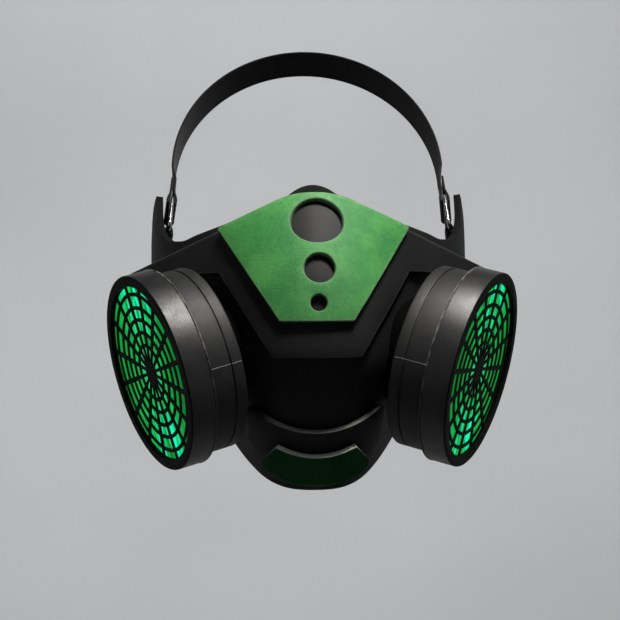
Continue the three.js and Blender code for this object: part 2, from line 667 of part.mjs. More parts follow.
function makeStrap() {
  const half = strapHalf();
  const mirror = ({ middle, across }) => ({
    middle: middle.clone().setX(-middle.x), across: across.clone().setX(-across.x),
  });
  const line = [...half, ...half.slice(0, -1).reverse().map(mirror)];
  const places = line.map(({ middle, across }, i) => {
    const before = line[Math.max(0, i - 1)].middle;
    const after = line[Math.min(line.length - 1, i + 1)].middle;
    const face = after.clone().sub(before).cross(across).normalize();
    return {
      middle,
      side: across.clone().multiplyScalar(STRAP.width / 2),
      face: face.multiplyScalar(STRAP.wall / 2),
    };
  });
  return sweepBand(places);
}

// ---------------------------------------------------------------------------------------------------------
// Assembly
// ---------------------------------------------------------------------------------------------------------
addMesh('base_shell', makeBaseShell(), 'black');
addMesh('nose_pad', makeNosePad(), 'pad');
addMesh('front_shield', makeShield(), 'shield');
addMesh('nose_panel', makeNosePanel(), 'green');
addMesh('chin_guard', makeChinSheet(CHIN_GUARD), 'black');
addMesh('chin_panel', makeChinSheet(CHIN_PANEL), 'green');

const matrix = canisterMatrix();
const canisterPieces = [
  ['filter_body', makeFilterBody().applyMatrix4(matrix), 'plastic'],
  ['filter_cap', makeFilterCap().applyMatrix4(matrix), 'plastic'],
  ['filter_grille', makeGrille().applyMatrix4(matrix), 'grille'],
  ['filter_diffuser', makeDiffuser().applyMatrix4(matrix), 'glow'],
  ['filter_neck', makeNeck(matrix), 'black'],
  ['strap_ring', makeRing().applyMatrix4(tabMatrix), 'steel'],
  ['ring_keeper', makeKeeper().applyMatrix4(tabMatrix), 'leather'],
];
for (const [name, geometry, colour] of canisterPieces) {
  addMesh(`${name}_left`, geometry, colour);
  addMesh(`${name}_right`, flipX(geometry), colour);
}
addMesh('head_strap', makeStrap(), 'webbing');

export default group;
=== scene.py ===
"""Half-mask respirator: thick leather sheets over a moulded leather shell, two filter canisters with glowing
discs behind their grilles, and a webbing strap on chromed rings. Lengths are worked out in millimetres and
handed to Blender in metres. X runs to the wearer's left, Y into the face, Z up."""
import math

import bmesh
import bpy
import numpy as np
from mathutils import Matrix, Vector, geometry


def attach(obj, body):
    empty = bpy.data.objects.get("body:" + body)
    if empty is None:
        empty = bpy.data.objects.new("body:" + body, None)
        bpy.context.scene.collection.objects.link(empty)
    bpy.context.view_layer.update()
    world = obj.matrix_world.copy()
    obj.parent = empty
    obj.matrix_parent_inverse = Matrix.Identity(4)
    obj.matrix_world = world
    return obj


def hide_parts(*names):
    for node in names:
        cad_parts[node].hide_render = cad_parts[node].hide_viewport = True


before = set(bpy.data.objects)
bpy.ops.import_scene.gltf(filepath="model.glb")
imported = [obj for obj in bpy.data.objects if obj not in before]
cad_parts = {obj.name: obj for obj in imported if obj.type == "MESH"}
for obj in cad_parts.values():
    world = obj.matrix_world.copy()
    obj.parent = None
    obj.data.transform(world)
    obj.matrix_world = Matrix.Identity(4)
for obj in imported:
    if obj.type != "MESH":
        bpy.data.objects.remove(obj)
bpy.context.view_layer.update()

MM = 0.001

# ---------------------------------------------------------------------------------------------------------
# Dimensions
# ---------------------------------------------------------------------------------------------------------
SHEET_GAP = 0.6
BASE_WALL = 3.6
SHEET = 3
PAD_WALL = 1.8

# Outer face of the base shell as level half sections, each a cubic curve from the middle of the face.
# Rows: height, front, ridge, bend x, bend y, rear x, rear y.
SECTIONS = np.array([
    [-160, 4, 18, 24, 16, 42, 54],
    [-132, -17.5, 27, 31, 3, 54, 64],
    [-108, -35, 36, 36, -8, 68, 74],
    [-86, -43, 44, 46, -14, 86, 86],
    [-62, -41, 36, 62, -8, 92, 88],
    [-40, -34.4, 26, 83, 8, 90.6, 88],
    [-15, -20, 22, 92, 20, 88.6, 88],
    [0, -7, 19, 91, 30, 87.2, 88],
    [14, 7, 17, 88, 36, 86, 88],
], float)

CROWN_Z, CROWN_HALF, CROWN_DROP, CROWN_POWER = 0.8, 20, 4.1, 2.26
TOP_SLOPE = 0.463
CROWN_HIDDEN = 0.6
BASE_PROUD, PROUD_FROM, PROUD_TO = 1.7, 40, 62
SHIELD_DROP = 1.8

CHEEK_EDGE_Z = -24.2
TAB_ARC_START_Y, TAB_ARC_RADIUS = 32, 30
TAB_LEAN = math.radians(50)
TAB_TOP_Z, TAB_WIDTH, TAB_CORNER, TAB_REAR_CUT = 2, 26, 2.5, 1.5
EDGE_BLEND = 1.0
SHARP_TURN = math.radians(14)    # an outline's corners that turn further than this are rounded

# Lower edge of the base shell, seen from the side: y and z.
JAW_LINE = np.array([
    [-6, -158], [6, -155], [20, -148], [38, -132], [56, -102], [73, -64], [78, -28],
], float)

SHIELD = dict(chin_half=22.7, chin_z=-83.5, notch_x=50, notch_z=-41, tip_x=99, tip_height=1.6,
              under_z=-43.4, flare_x=46, flare_slope=1.0)
PANEL = dict(corner_x=50.5, corner_height=1, foot_half=19, foot_z=-65)
RIM_WIDTH, BASE_RIM_WIDTH, HOLE_RIM = 2.8, 2.5, 0.6   # how far handling wears a rim, and how much at holes
PANEL_HOLES = [(1.0, -17.4, 13.7), (1.7, -40.8, 8.0), (1.0, -57.2, 4.2)]    # middle x, height and radius
CHIN_GUARD = dict(half=36, corner_half=36, top_z=-123.4, rise=13.8, shoulder_z=-109.6, foot_z=-154,
                  foot_rise=24, foot_power=2, lift=SHEET_GAP)
CHIN_PANEL = dict(half=28.4, corner_half=21, top_z=-136.6, rise=5.5, shoulder_z=-139.3, foot_z=-152.8,
                  foot_rise=9.5, foot_power=2.6, lift=2 * SHEET_GAP + SHEET)
NOSE_PAD = dict(half=15, top_z=5.6, arch_half=13, arch_drop=5.4, bottom_z=-16)

CANISTER_AT = np.array([57.1, -6.6, -84.8])
CANISTER_YAW, CANISTER_PITCH = math.radians(65.6), math.radians(13.2)
CANISTER_LENGTH, BODY_RADIUS, CAP_RADIUS, BEZEL_RADIUS = 33.2, 48.3, 51.8, 46.2
GROOVE, GROOVE_WIDTH, GROOVE_DEPTH = 6.3, 0.9, 0.7
CAP_START, SLEEVE_STEP, SLEEVE_END, CANISTER_WALL = 18.9, 1.2, 29.5, 2.4
GAP = 0.3
NECK_RADIUS, NECK_REACH, NECK_BORE = 28, 34, 0.9            # the bore as a share of the radius
SEAM_HALF_ANGLE, SEAM_FADE, SEAM_RISE, SEAM_FROM = 0.004, 0.5, 0.26, 0.5
SEAM_ANGLES = {1: math.radians(177.25), -1: math.radians(1)}       # wearer's left, right
GRILLE_TURNS = {1: math.radians(-2.1), -1: math.radians(11.1)}
CAP_BEAD, BEAD_PROUD = 1.0, 0.25
GRILLE_RECESS, GRILLE_WALL = 1.3, 0.8
SPOKES, SPOKE_WIDTH, SPOKE_AT_HUB, RING_BAR = 16, 2.6, 1.5, 2.0
SPOKE_TAPER_FROM, SPOKE_TAPER_TO = 7, 24        # radii between which a spoke widens
HUB_RADIUS, WINDOW_RADIUS = 6.8, 46.0
RING_BARS = [14.5, 21.3, 28.1, 34.5, 41.7]      # radii of the bars' middles
DISC_BEHIND, DISC_WALL, DISC_RADIUS, DISC_LIP = 0.3, 2.0, 44.2, 46.7

RING = dict(off_wall=4.4, rise=1, width=29, height=24, wire=2.2, corner=4, tilt=math.radians(6))
KEEPER = dict(width=17, wall=1.1, slack=0.4, outer_leg=13, inner_leg=17, web_at=1.2, web=5)
STRAP = dict(width=20, wall=1.3, slack=0.7, pinch=0.9, pinch_at=8, fold=17, straight=9, side_x=77,
             head_reach=92)


# ---------------------------------------------------------------------------------------------------------
# Base surface
# ---------------------------------------------------------------------------------------------------------
def read_table(rows, at):
    """The other columns of a table at places in its first, smoothly through its rows."""
    at = np.asarray(at, float)
    keys, columns = rows[:, 0], rows[:, 1:]
    before = np.maximum(np.arange(len(keys)) - 1, 0)
    after = np.minimum(np.arange(len(keys)) + 1, len(keys) - 1)
    slopes = (columns[after] - columns[before]) / (keys[after] - keys[before])[:, None]
    i = np.clip(np.searchsorted(keys, at) - 1, 0, len(keys) - 2)
    h = (keys[i + 1] - keys[i])[..., None]
    t = (at - keys[i])[..., None] / h
    inside = np.clip(t, 0, 1)
    t2, t3 = inside ** 2, inside ** 3
    value = ((2 * t3 - 3 * t2 + 1) * columns[i] + (t3 - 2 * t2 + inside) * h * slopes[i]
             + (3 * t2 - 2 * t3) * columns[i + 1] + (t3 - t2) * h * slopes[i + 1])
    beyond = np.where(t < 0, slopes[i], slopes[i + 1])
    return value + beyond * (t - inside) * h


def half_section(z):
    """x and y along the level half section at a height, for a share from 0 to 1."""
    front, ridge, bend_x, bend_y, rear_x, rear_y = np.moveaxis(read_table(SECTIONS, z), -1, 0)

    def along(t):
        a, b, c = 3 * (1 - t) ** 2 * t, 3 * (1 - t) * t * t, t ** 3
        return a * ridge + b * bend_x + c * rear_x, ((1 - t) ** 3 + a) * front + b * bend_y + c * rear_y
    return along


def base_point(share, z):
    """The base shell's outer face, from share -1 at one rear end through 0 to 1 at the other."""
    share, z = np.broadcast_arrays(np.asarray(share, float), np.asarray(z, float))
    x, y = half_section(z)(np.abs(share))
    return np.stack([np.sign(share) * x, y, z], -1)


def bisect(above, low, high, steps=36):
    """The place where above() turns from false to true."""
    for _ in range(steps):
        middle = (low + high) / 2
        over = above(middle)
        high = np.where(over, middle, high)
        low = np.where(over, low, middle)
    return (low + high) / 2


def on_base(x, z):
    x, z = np.broadcast_arrays(np.asarray(x, float), np.asarray(z, float))
    along = half_section(z)
    share = bisect(lambda t: along(t)[0] > np.abs(x), np.zeros(x.shape), np.ones(x.shape))
    return np.stack([x, along(share)[1], z], -1)


def on_shield(x, z):
    """The shield follows the base as far as the cheeks, then its wings run straight out."""
    x, z = np.broadcast_arrays(np.asarray(x, float), np.asarray(z, float))
    flare = np.maximum(0, np.abs(x) - SHIELD["flare_x"])
    y = on_base(np.minimum(np.abs(x), SHIELD["flare_x"]), z)[..., 1] + SHIELD["flare_slope"] * flare
    return np.stack([x, y, z], -1)


def lifted(surface, u, z, lift):
    step = 0.01
    across = surface(u + step, z) - surface(u - step, z)
    up = surface(u, z + step) - surface(u, z - step)
    normal = np.cross(across, up)
    normal /= np.linalg.norm(normal, axis=-1, keepdims=True)
    return surface(u, z) + normal * np.asarray(lift, float)[..., None]


def foot_of(surface, lift, x, z):
    """The foot on a surface whose lifted point is seen from the front at a given place."""
    u, w = x.copy(), z.copy()
    for _ in range(6):
        point = lifted(surface, u, w, np.full(u.shape, lift))
        u += x - point[..., 0]
        w += z - point[..., 2]
    return u, w


# ---------------------------------------------------------------------------------------------------------
# Outlines
# ---------------------------------------------------------------------------------------------------------
def top_line(x):
    across = np.abs(x)
    crown = CROWN_Z - CROWN_DROP * (np.minimum(across, CROWN_HALF) / CROWN_HALF) ** CROWN_POWER
    return crown - TOP_SLOPE * np.maximum(across - CROWN_HALF, 0)


def unit(v):
    return v / np.linalg.norm(v)


def soft_min(a, b, r):
    h = np.clip(0.5 + (b - a) / (2 * r), 0, 1)
    return b + (a - b) * h - r * h * (1 - h)


TAB_SLOPE = math.tan(TAB_LEAN)
TAB_ARC_END_Y = TAB_ARC_START_Y + TAB_ARC_RADIUS * math.sin(TAB_LEAN)
TAB_ARC_END_Z = CHEEK_EDGE_Z + TAB_ARC_RADIUS * (1 - math.cos(TAB_LEAN))
TAB_FRONT_Y = TAB_ARC_END_Y + (TAB_TOP_Z - TAB_ARC_END_Z) / TAB_SLOPE
TAB_REAR_Y = TAB_FRONT_Y + TAB_WIDTH * math.sin(TAB_LEAN)
TAB_REAR_Z = TAB_TOP_Z - TAB_WIDTH * math.cos(TAB_LEAN)


def tab_top(y):
    turn = np.arcsin(np.clip((y - TAB_ARC_START_Y) / TAB_ARC_RADIUS, 0, math.sin(TAB_LEAN)))
    rise = CHEEK_EDGE_Z + TAB_ARC_RADIUS * (1 - np.cos(turn))
    rise += TAB_SLOPE * np.maximum(y - TAB_ARC_END_Y, 0)
    return soft_min(rise, TAB_TOP_Z - (y - TAB_FRONT_Y) / TAB_SLOPE, TAB_CORNER)


def base_edges(share):
    """Lower and upper edge of the base shell at each share."""
    def over_top(z):
        point = base_point(share, z)
        cheek = np.clip((np.abs(point[..., 0]) - PROUD_FROM) / (PROUD_TO - PROUD_FROM), 0, 1)
        proud = -CROWN_HIDDEN + (BASE_PROUD + CROWN_HIDDEN) * cheek
        return z > -soft_min(-(top_line(point[..., 0]) + proud), -tab_top(point[..., 1]), EDGE_BLEND)

    def over_jaw(z):
        y = base_point(share, z)[..., 1]
        line = read_table(JAW_LINE, np.minimum(y, JAW_LINE[-1, 0]))[..., 0]
        rear_y, rear_z = JAW_LINE[-1]
        slope = (TAB_REAR_Z - TAB_REAR_CUT - rear_z) / (TAB_REAR_Y - rear_y)
        return z > line + slope * np.maximum(y - rear_y, 0)

    low, high = np.full(share.shape, -170.0), np.full(share.shape, -10.0)
    bottom = bisect(over_jaw, low, high)
    top = bisect(over_top, np.full(share.shape, -60.0), np.full(share.shape, 12.0))
    return bottom, top


def shield_bottom(x):
    s = SHIELD
    return np.interp(np.abs(x), [s["chin_half"], s["notch_x"], s["tip_x"]],
                     [s["chin_z"], s["notch_z"], s["under_z"]])


def shield_top(x):
    return np.maximum(top_line(x) - SHIELD_DROP, shield_bottom(x) + SHIELD["tip_height"])


def rounded(corners, radius, spacing):
    """A closed outline with its sharp corners rounded and its long runs divided."""
    def turns(loop):
        into, out = loop - np.roll(loop, 1, 0), np.roll(loop, -1, 0) - loop
        cross = into[:, 0] * out[:, 1] - into[:, 1] * out[:, 0]
        return np.arctan2(cross, np.sum(into * out, 1))

    corners = np.array(corners, float)
    turn = turns(corners)
    sharp = np.abs(turn) > SHARP_TURN
    if sharp.any():
        room = 2.3 * radius * np.tan(np.abs(turn[sharp]) / 2)
        away = np.linalg.norm(corners[:, None] - corners[sharp][None], axis=-1)
        corners = corners[sharp | (away > room).all(1)]
    turn = turns(corners)
    points = []
    for i, here in enumerate(corners):
        if abs(turn[i]) <= SHARP_TURN:
            points.append(here)
            continue
        into, out = here - corners[i - 1], corners[(i + 1) % len(corners)] - here
        reach = min(np.linalg.norm(into), np.linalg.norm(out))
        into, out = unit(into), unit(out)
        half = math.tan(abs(turn[i]) / 2)
        cut = min(radius * half, 0.48 * reach)
        side = np.array([-into[1], into[0]]) * math.copysign(cut / half, turn[i])
        middle = here - into * cut + side
        for a in np.linspace(0, turn[i], max(3, int(abs(turn[i]) / SHARP_TURN) + 1)):
            points.append(middle - np.array([side[0] * math.cos(a) - side[1] * math.sin(a),
                                             side[0] * math.sin(a) + side[1] * math.cos(a)]))
    outline = []
    for i, here in enumerate(points):
        after = points[(i + 1) % len(points)]
        parts = max(1, int(round(np.linalg.norm(after - here) / spacing)))
        outline.extend(here + (after - here) * k / parts for k in range(parts))
    return np.array(outline)


def between(low, high, half, spacing):
    """Corners of a shape with a left-right mirror, between its lower and upper edge, anticlockwise."""
    xs = np.linspace(-half, half, int(2 * half / spacing) + 1)
    return [(x, low(x)) for x in xs] + [(x, high(x)) for x in xs[::-1]]


def circle(x, z, radius, count):
    angles = -2 * math.pi * np.arange(count) / count
    return np.stack([x + radius * np.cos(angles), z + radius * np.sin(angles)], -1)


# ---------------------------------------------------------------------------------------------------------
# Mesh tools
# ---------------------------------------------------------------------------------------------------------
def new_piece(name, vertices, faces, slots=(), face_slots=None, readings=None, matrix=None, smooth=35):
    """A mesh object from places in millimetres. readings are named numbers kept at the vertices."""
    vertices = np.array(vertices, float)
    mesh = bpy.data.meshes.new(name)
    mesh.from_pydata((vertices * MM).tolist(), [], [list(map(int, f)) for f in faces])
    for key, values in (readings or {}).items():
        mesh.attributes.new(key, "FLOAT", "POINT").data.foreach_set("value", np.asarray(values, np.float32))
    if face_slots is not None:
        mesh.polygons.foreach_set("material_index", np.asarray(face_slots, np.int32))
    turn = bmesh.new()
    turn.from_mesh(mesh)
    bmesh.ops.recalc_face_normals(turn, faces=turn.faces)
    turn.to_mesh(mesh)
    turn.free()
    mesh.shade_smooth()
    mesh.set_sharp_from_angle(angle=math.radians(smooth))
    for material in slots:
        mesh.materials.append(material)
    piece = bpy.data.objects.new(name, mesh)
    bpy.context.scene.collection.objects.link(piece)
    if matrix is not None:
        piece.matrix_world = matrix
    return piece


def bands(rows, count, wrap=False):
    """Faces between closed rows of count places; wrap also joins the last row to the first."""
    return [(j * count + i, j * count + (i + 1) % count, n * count + (i + 1) % count, n * count + i)
            for j, n in zip(range(rows if wrap else rows - 1), [*range(1, rows), 0]) for i in range(count)]


def apply_modifiers(piece):
    """The piece's mesh as its modifiers leave it."""
    bpy.context.view_layer.update()
    shaped = bpy.data.meshes.new_from_object(piece.evaluated_get(bpy.context.evaluated_depsgraph_get()))
    piece.modifiers.clear()
    old, piece.data = piece.data, shaped
    bpy.data.meshes.remove(old)
    return piece


def eased(wall, outer, inner, steps=3):
    """Cut edge of a sheet as (inset, depth) places from its outer to its inner face, both edges rounded."""
    turns = [math.pi / 2 * k / steps for k in range(steps + 1)]
    front = [(outer * (1 - math.sin(a)), outer * (1 - math.cos(a))) for a in turns]
    back = [(inner * (1 - math.cos(a)), wall - inner * (1 - math.sin(a))) for a in turns]
    return front + back


def inset(loop, distance):
    """A closed loop moved to its left, into the sheet."""
    before, after = loop - np.roll(loop, 1, 0), np.roll(loop, -1, 0) - loop
    left = [np.stack([-d[:, 1], d[:, 0]], -1) / np.linalg.norm(d, axis=1, keepdims=True)
            for d in (before, after)]
    middle = left[0] + left[1]
    middle /= np.maximum(np.sum(middle * left[0], 1, keepdims=True), 0.3)
    return loop + middle * distance


def inside_of(loop, points):
    """Which points lie inside a closed loop."""
    a, b = loop[None], np.roll(loop, -1, 0)[None]
    p = points[:, None]
    crosses = (a[..., 1] > p[..., 1]) != (b[..., 1] > p[..., 1])
    rise = np.where(np.abs(b[..., 1] - a[..., 1]) < 1e-12, 1e-12, b[..., 1] - a[..., 1])
    at = a[..., 0] + (p[..., 1] - a[..., 1]) / rise * (b[..., 0] - a[..., 0])
    return np.sum(crosses & (p[..., 0] < at), 1) % 2 == 1


def distance_to(loop, points):
    a, b = loop[None], np.roll(loop, -1, 0)[None]
    run = b - a
    t = np.clip(np.sum((points[:, None] - a) * run, -1) / np.maximum(np.sum(run * run, -1), 1e-12), 0, 1)
    return np.min(np.linalg.norm(points[:, None] - a - run * t[..., None], axis=-1), 1)


def filled(loops, spacing, relief=0.6):
    """Triangles between closed loops, the first the outline and the others holes, over an even grid.
    Gives the grid's places and the triangles, which count the loops' points first."""
    outline = loops[0]
    low, high = outline.min(0), outline.max(0)
    grid = np.stack(np.meshgrid(np.arange(low[0], high[0], spacing), np.arange(low[1], high[1], spacing),
                                indexing="ij"), -1)
    grid[::2, :, 1] += spacing / 2
    grid = grid.reshape(-1, 2)
    grid = grid[inside_of(outline, grid)]
    for loop in loops[1:]:
        grid = grid[~inside_of(loop, grid)]
    for loop in loops:
        if len(grid):
            grid = grid[distance_to(loop, grid) > relief * spacing]
    edges, start = [], 0
    for loop in loops:
        count = len(loop)
        edges.extend((start + i, start + (i + 1) % count) for i in range(count))
        start += count
    places = np.concatenate([*loops, grid])
    made = geometry.delaunay_2d_cdt([Vector(p) for p in places], edges, [], 1, 1e-7)
    source = np.array([ids[0] for ids in made[3]])
    triangles = source[np.array(made[2])]
    middles = places[triangles].mean(1)
    kept = inside_of(outline, middles)
    for loop in loops[1:]:
        kept &= ~inside_of(loop, middles)
    return grid, triangles[kept]


def cut_plate(name, loops, profiles, place, spacing, slots, matrix=None, smooth=35, edge_from=0.12):
    """A sheet of even thickness cut to closed loops: the outline, then its holes, which run the other way.
    Each loop has its profile of (inset, depth) places over the cut edge; place() gives a point in space
    for a place on the pattern and a depth. The cut edge takes the second material."""
    vertices, faces, face_slots, rims, layers = [], [], [], [], []
    total = 0
    rings = []
    wall = profiles[0][-1][1]
    for number, (loop, profile) in enumerate(zip(loops, profiles)):
        ring = []
        for step, depth in profile:
            pattern = inset(loop, step)
            vertices.append(place(pattern, depth))
            rims.append(np.full(len(loop), HOLE_RIM if number else 1.0))
            layers.append(np.full(len(loop), depth / wall))
            ring.append(total)
            total += len(loop)
        count = len(loop)
        for j, (a, b) in enumerate(zip(ring, ring[1:])):
            is_edge = profile[j + 1][1] - profile[j][1] > edge_from
            for i in range(count):
                k = (i + 1) % count
                faces.append((a + i, a + k, b + k, b + i))
                face_slots.append(1 if is_edge and len(slots) > 1 else 0)
        rings.append((loop, profile, ring))
    for side in (0, -1):
        rim_loops = [inset(loop, profile[side][0]) for loop, profile, _ in rings]
        grid, triangles = filled(rim_loops, spacing)
        numbers = [ring[side] + i for loop, _, ring in rings for i in range(len(loop))]
        numbers += range(total, total + len(grid))
        if len(grid):
            vertices.append(place(grid, rings[0][1][side][1]))
            near = np.min([distance_to(loop, grid) for loop in rim_loops], 0)
            rims.append(np.clip(1 - near / RIM_WIDTH, 0, 1))
            layers.append(np.full(len(grid), rings[0][1][side][1] / wall))
        total += len(grid)
        faces.extend([numbers[i] for i in triangle] for triangle in triangles)
        face_slots.extend([0] * len(triangles))
    return new_piece(name, np.concatenate(vertices), faces, slots, face_slots,
                     {"rim": np.concatenate(rims), "layer": np.concatenate(layers)}, matrix, smooth)


def on_sheet(surface, lift, wall):
    """Places on a sheet laid on a surface, for cut_plate: the pattern is what the front view shows."""
    def place(pattern, depth):
        u, w = foot_of(surface, lift + wall, pattern[:, 0], pattern[:, 1])
        return lifted(surface, u, w, np.full(len(u), lift + wall - depth))
    return place


def turned(name, profile, slots, face_slot=None, matrix=None, segments=128, seam=None, smooth=30):
    """A profile of (radius, height) places turned about the Z axis. seam is (angle, side, rise, lowest,
    highest): a joint across the rim where one end of the band stands a little proud of the other."""
    angles = 2 * math.pi * np.arange(segments) / segments
    if seam:
        away = (angles - seam[0] + math.pi) % (2 * math.pi) - math.pi
        spread = seam[0] + np.array([-2, -1, 1, 2]) * SEAM_HALF_ANGLE
        angles = np.sort(np.concatenate([angles[np.abs(away) > 3 * SEAM_HALF_ANGLE],
                                         spread % (2 * math.pi)]))
    count = len(angles)
    vertices = []
    for radius, height in profile:
        r = np.full(count, float(radius))
        if seam and seam[3] <= height <= seam[4] and radius > 0.9 * BODY_RADIUS:
            away = seam[1] * ((angles - seam[0] + math.pi) % (2 * math.pi) - math.pi)
            r += seam[2] * (away > 0) * np.clip(1 - away / SEAM_FADE, 0, 1) ** 2
        vertices.append(np.stack([r * np.cos(angles), r * np.sin(angles), np.full(count, height)], -1))
    face_slots = [face_slot(a, b) if face_slot else 0 for a, b in zip(profile, profile[1:])]
    piece = new_piece(name, np.concatenate(vertices), bands(len(profile), count), slots,
                      np.repeat(face_slots, count), None, matrix, smooth)
    weld = bmesh.new()
    weld.from_mesh(piece.data)
    bmesh.ops.remove_doubles(weld, verts=weld.verts, dist=1e-7)
    weld.to_mesh(piece.data)
    weld.free()
    return piece


def swept(name, middles, sides, faces_out, section, slots, closed=False, readings=None, smooth=40):
    """A section of (side, face) places carried along a line of middles, with its two directions at each."""
    count = len(section)
    vertices = [m + s * a + f * b for m, s, f in zip(middles, sides, faces_out) for a, b in section]
    rows = len(middles)
    faces = bands(rows, count, closed)
    if not closed:
        faces.append(list(range(count))[::-1])
        faces.append([count * (rows - 1) + k for k in range(count)])
    return new_piece(name, np.array(vertices), faces, slots, None, readings, None, smooth)


# ---------------------------------------------------------------------------------------------------------
# Finishes
# ---------------------------------------------------------------------------------------------------------
def tint(red, green, blue):
    """A colour from its display values, 0 to 255."""
    def straight(v):
        v /= 255
        return v / 12.92 if v <= 0.04045 else ((v + 0.055) / 1.055) ** 2.4
    return (straight(red), straight(green), straight(blue), 1)


GLOW_MID, GLOW_LIGHT, GLOW_DEEP = tint(22, 164, 66), tint(28, 206, 92), tint(8, 104, 34)
GLOW_FLASH, GLOW_HUB = tint(20, 252, 190), tint(46, 196, 126)
DRESSED_LIGHT, DRESSED_DARK = tint(24, 24, 24), tint(12, 12, 12)


class Wire:
    """A shader socket that takes part in sums as a number does."""

    def __init__(self, finish, socket):
        self.finish = finish
        self.socket = socket

    def maths(self, operation, *terms):
        return self.finish.node("ShaderNodeMath", {"operation": operation}, dict(enumerate(terms)))

    def __add__(self, other):
        return self.maths("ADD", self, other)

    def __sub__(self, other):
        return self.maths("SUBTRACT", self, other)

    def __rsub__(self, other):
        return self.maths("SUBTRACT", other, self)

    def __mul__(self, other):
        return self.maths("MULTIPLY", self, other)

    def __truediv__(self, other):
        return self.maths("DIVIDE", self, other)

    def __pow__(self, other):
        return self.maths("POWER", self, other)

    __radd__, __rmul__ = __add__, __mul__

    def between(self, low, high):
        """0 at or below low, 1 at or above high, smooth in between."""
        return self.finish.node("ShaderNodeMapRange", {"interpolation_type": "SMOOTHSTEP"},
                                {"Value": self, "From Min": low, "From Max": high})


class Finish:
    """The node tree of one material."""

    def __init__(self, name):
        self.material = bpy.data.materials.new(name)
        self.material.use_nodes = True
        self.tree = self.material.node_tree
        self.tree.nodes.clear()
        self.place = self.node("ShaderNodeVectorMath", {"operation": "SCALE"}, {
            0: self.node("ShaderNodeTexCoord", output="Object"), "Scale": 1 / MM})

    def node(self, kind, settings=None, sockets=None, output=0):
        """A node of a kind: its settings first, then its sockets' values or wires. Gives one output."""
        made = self.tree.nodes.new(kind)
        for key, value in (settings or {}).items():
            setattr(made, key, value)
        for key, value in (sockets or {}).items():
            if isinstance(value, Wire):
                self.tree.links.new(value.socket, made.inputs[key])
            else:
                made.inputs[key].default_value = value
        return Wire(self, made.outputs[output])

    def noise(self, size, detail=2, roughness=0.5, where=None, stretch=None):
        """Soft cloudy noise from 0 to 1, its patches about size millimetres wide."""
        at = where or self.place
        if stretch:
            at = self.node("ShaderNodeVectorMath", {"operation": "MULTIPLY"}, {0: at, 1: stretch})
        return self.node("ShaderNodeTexNoise", None, {
            "Vector": at, "Scale": 1 / size, "Detail": detail, "Roughness": roughness})

    def cells(self, size, feature="F1", output="Distance", where=None, randomness=1.0):
        return self.node("ShaderNodeTexVoronoi", {"feature": feature}, {
            "Vector": where or self.place, "Scale": 1 / size, "Randomness": randomness}, output)

    def reading(self, name):
        """A number kept at the piece's vertices."""
        return self.node("ShaderNodeAttribute", {"attribute_name": name}, output="Fac")

    def blend(self, share, first, second):
        """One colour turning into another."""
        return self.node("ShaderNodeMix", {"data_type": "RGBA"}, {0: share, 6: first, 7: second}, 2)

    def finish(self, colour, roughness, height=None, rise=0.1, strength=1.0, **constants):
        """The surface itself. height is a relief from 0 to 1 and rise its size in millimetres."""
        sockets = {"Base Color": colour, "Roughness": roughness}
        if height is not None:
            sockets["Normal"] = self.node("ShaderNodeBump", None, {
                "Strength": strength, "Distance": rise * MM, "Height": height})
        for key, value in constants.items():
            sockets[key.replace("_", " ")] = value
        shader = self.node("ShaderNodeBsdfPrincipled", None, sockets)
        surface = self.tree.nodes.new("ShaderNodeOutputMaterial").inputs["Surface"]
        self.tree.links.new(shader.socket, surface)
        return self.material


def grained_leather(name, light, dark, roughness, mottle, wear, specular=0.5, grain=0.9, relief=0.07):
    """Smooth dyed leather: cloudy dye, fine pores and creases, and a rim that handling has rubbed."""
    f = Finish(name)
    clouds = f.noise(19, 4, 0.6)
    flecks = f.noise(2.3, 3, 0.65)
    pores = f.cells(grain, "DISTANCE_TO_EDGE").between(0.0, 0.35)
    fine = f.noise(0.28, 3, 0.7)
    creases = f.noise(7, 5, 0.62, stretch=(1, 1, 2.2))
    tone = (clouds - 0.5) * mottle + (flecks - 0.5) * (0.6 * mottle) + 0.5
    colour = f.blend(tone.between(0.18, 0.82), dark, light)
    rubbed = f.reading("rim").between(0.35, 1.0) * f.noise(3.1, 3).between(0.3, 0.75)
    colour = f.blend(rubbed * wear[1], colour, wear[0])
    height = pores * 0.5 + fine * 0.25 + creases * 0.9
    rough = (flecks - 0.5) * 0.16 + (clouds - 0.5) * 0.1 + roughness - rubbed * 0.06
    return f.finish(colour, rough, height, relief, 0.9, Specular_IOR_Level=specular)


def raw_edge(name, light, dark, roughness=0.6, pale=None, specular=0.2):
    """Cut edge of leather: the hide's layers show as fine lines along it. pale is (axis, place, way) where
    an edge dressed black keeps its light colours: beyond the place on the axis, or within it if way is -1.
    On the shell's tab these are the raw edge's own colours; on the chin guard and chin panel they are a
    painted highlight on the lit top edge."""
    f = Finish(name)
    layer = f.reading("layer")
    along = f.noise(9, 2)
    place = f.node("ShaderNodeCombineXYZ", None, {0: layer * 14 + along * 2.0, 1: f.noise(3.5, 2) * 1.5})
    layers = f.noise(1, 3, 0.6, where=place)
    fray = f.noise(0.5, 3, 0.7)
    colour = f.blend((layers * 0.75 + fray * 0.25).between(0.3, 0.7), dark, light)
    if pale:
        axis, at, way = pale
        where = f.node("ShaderNodeSeparateXYZ", None, {0: f.place}, axis)
        # raw is the light stretch: the raw edge on the shell's tab, a painted highlight on the chin guard
        # and chin panel.
        raw = (where.maths("ABSOLUTE", where) + (along - 0.5) * 6).between(at - 5, at + 5)
        raw = raw if way > 0 else 1 - raw
        colour = f.blend(raw, f.blend(layers.between(0.3, 0.7), DRESSED_DARK, DRESSED_LIGHT), colour)
    return f.finish(colour, roughness + (fray - 0.5) * 0.15, layers * 0.7 + fray * 0.5, 0.12, 0.9,
                    Specular_IOR_Level=specular)


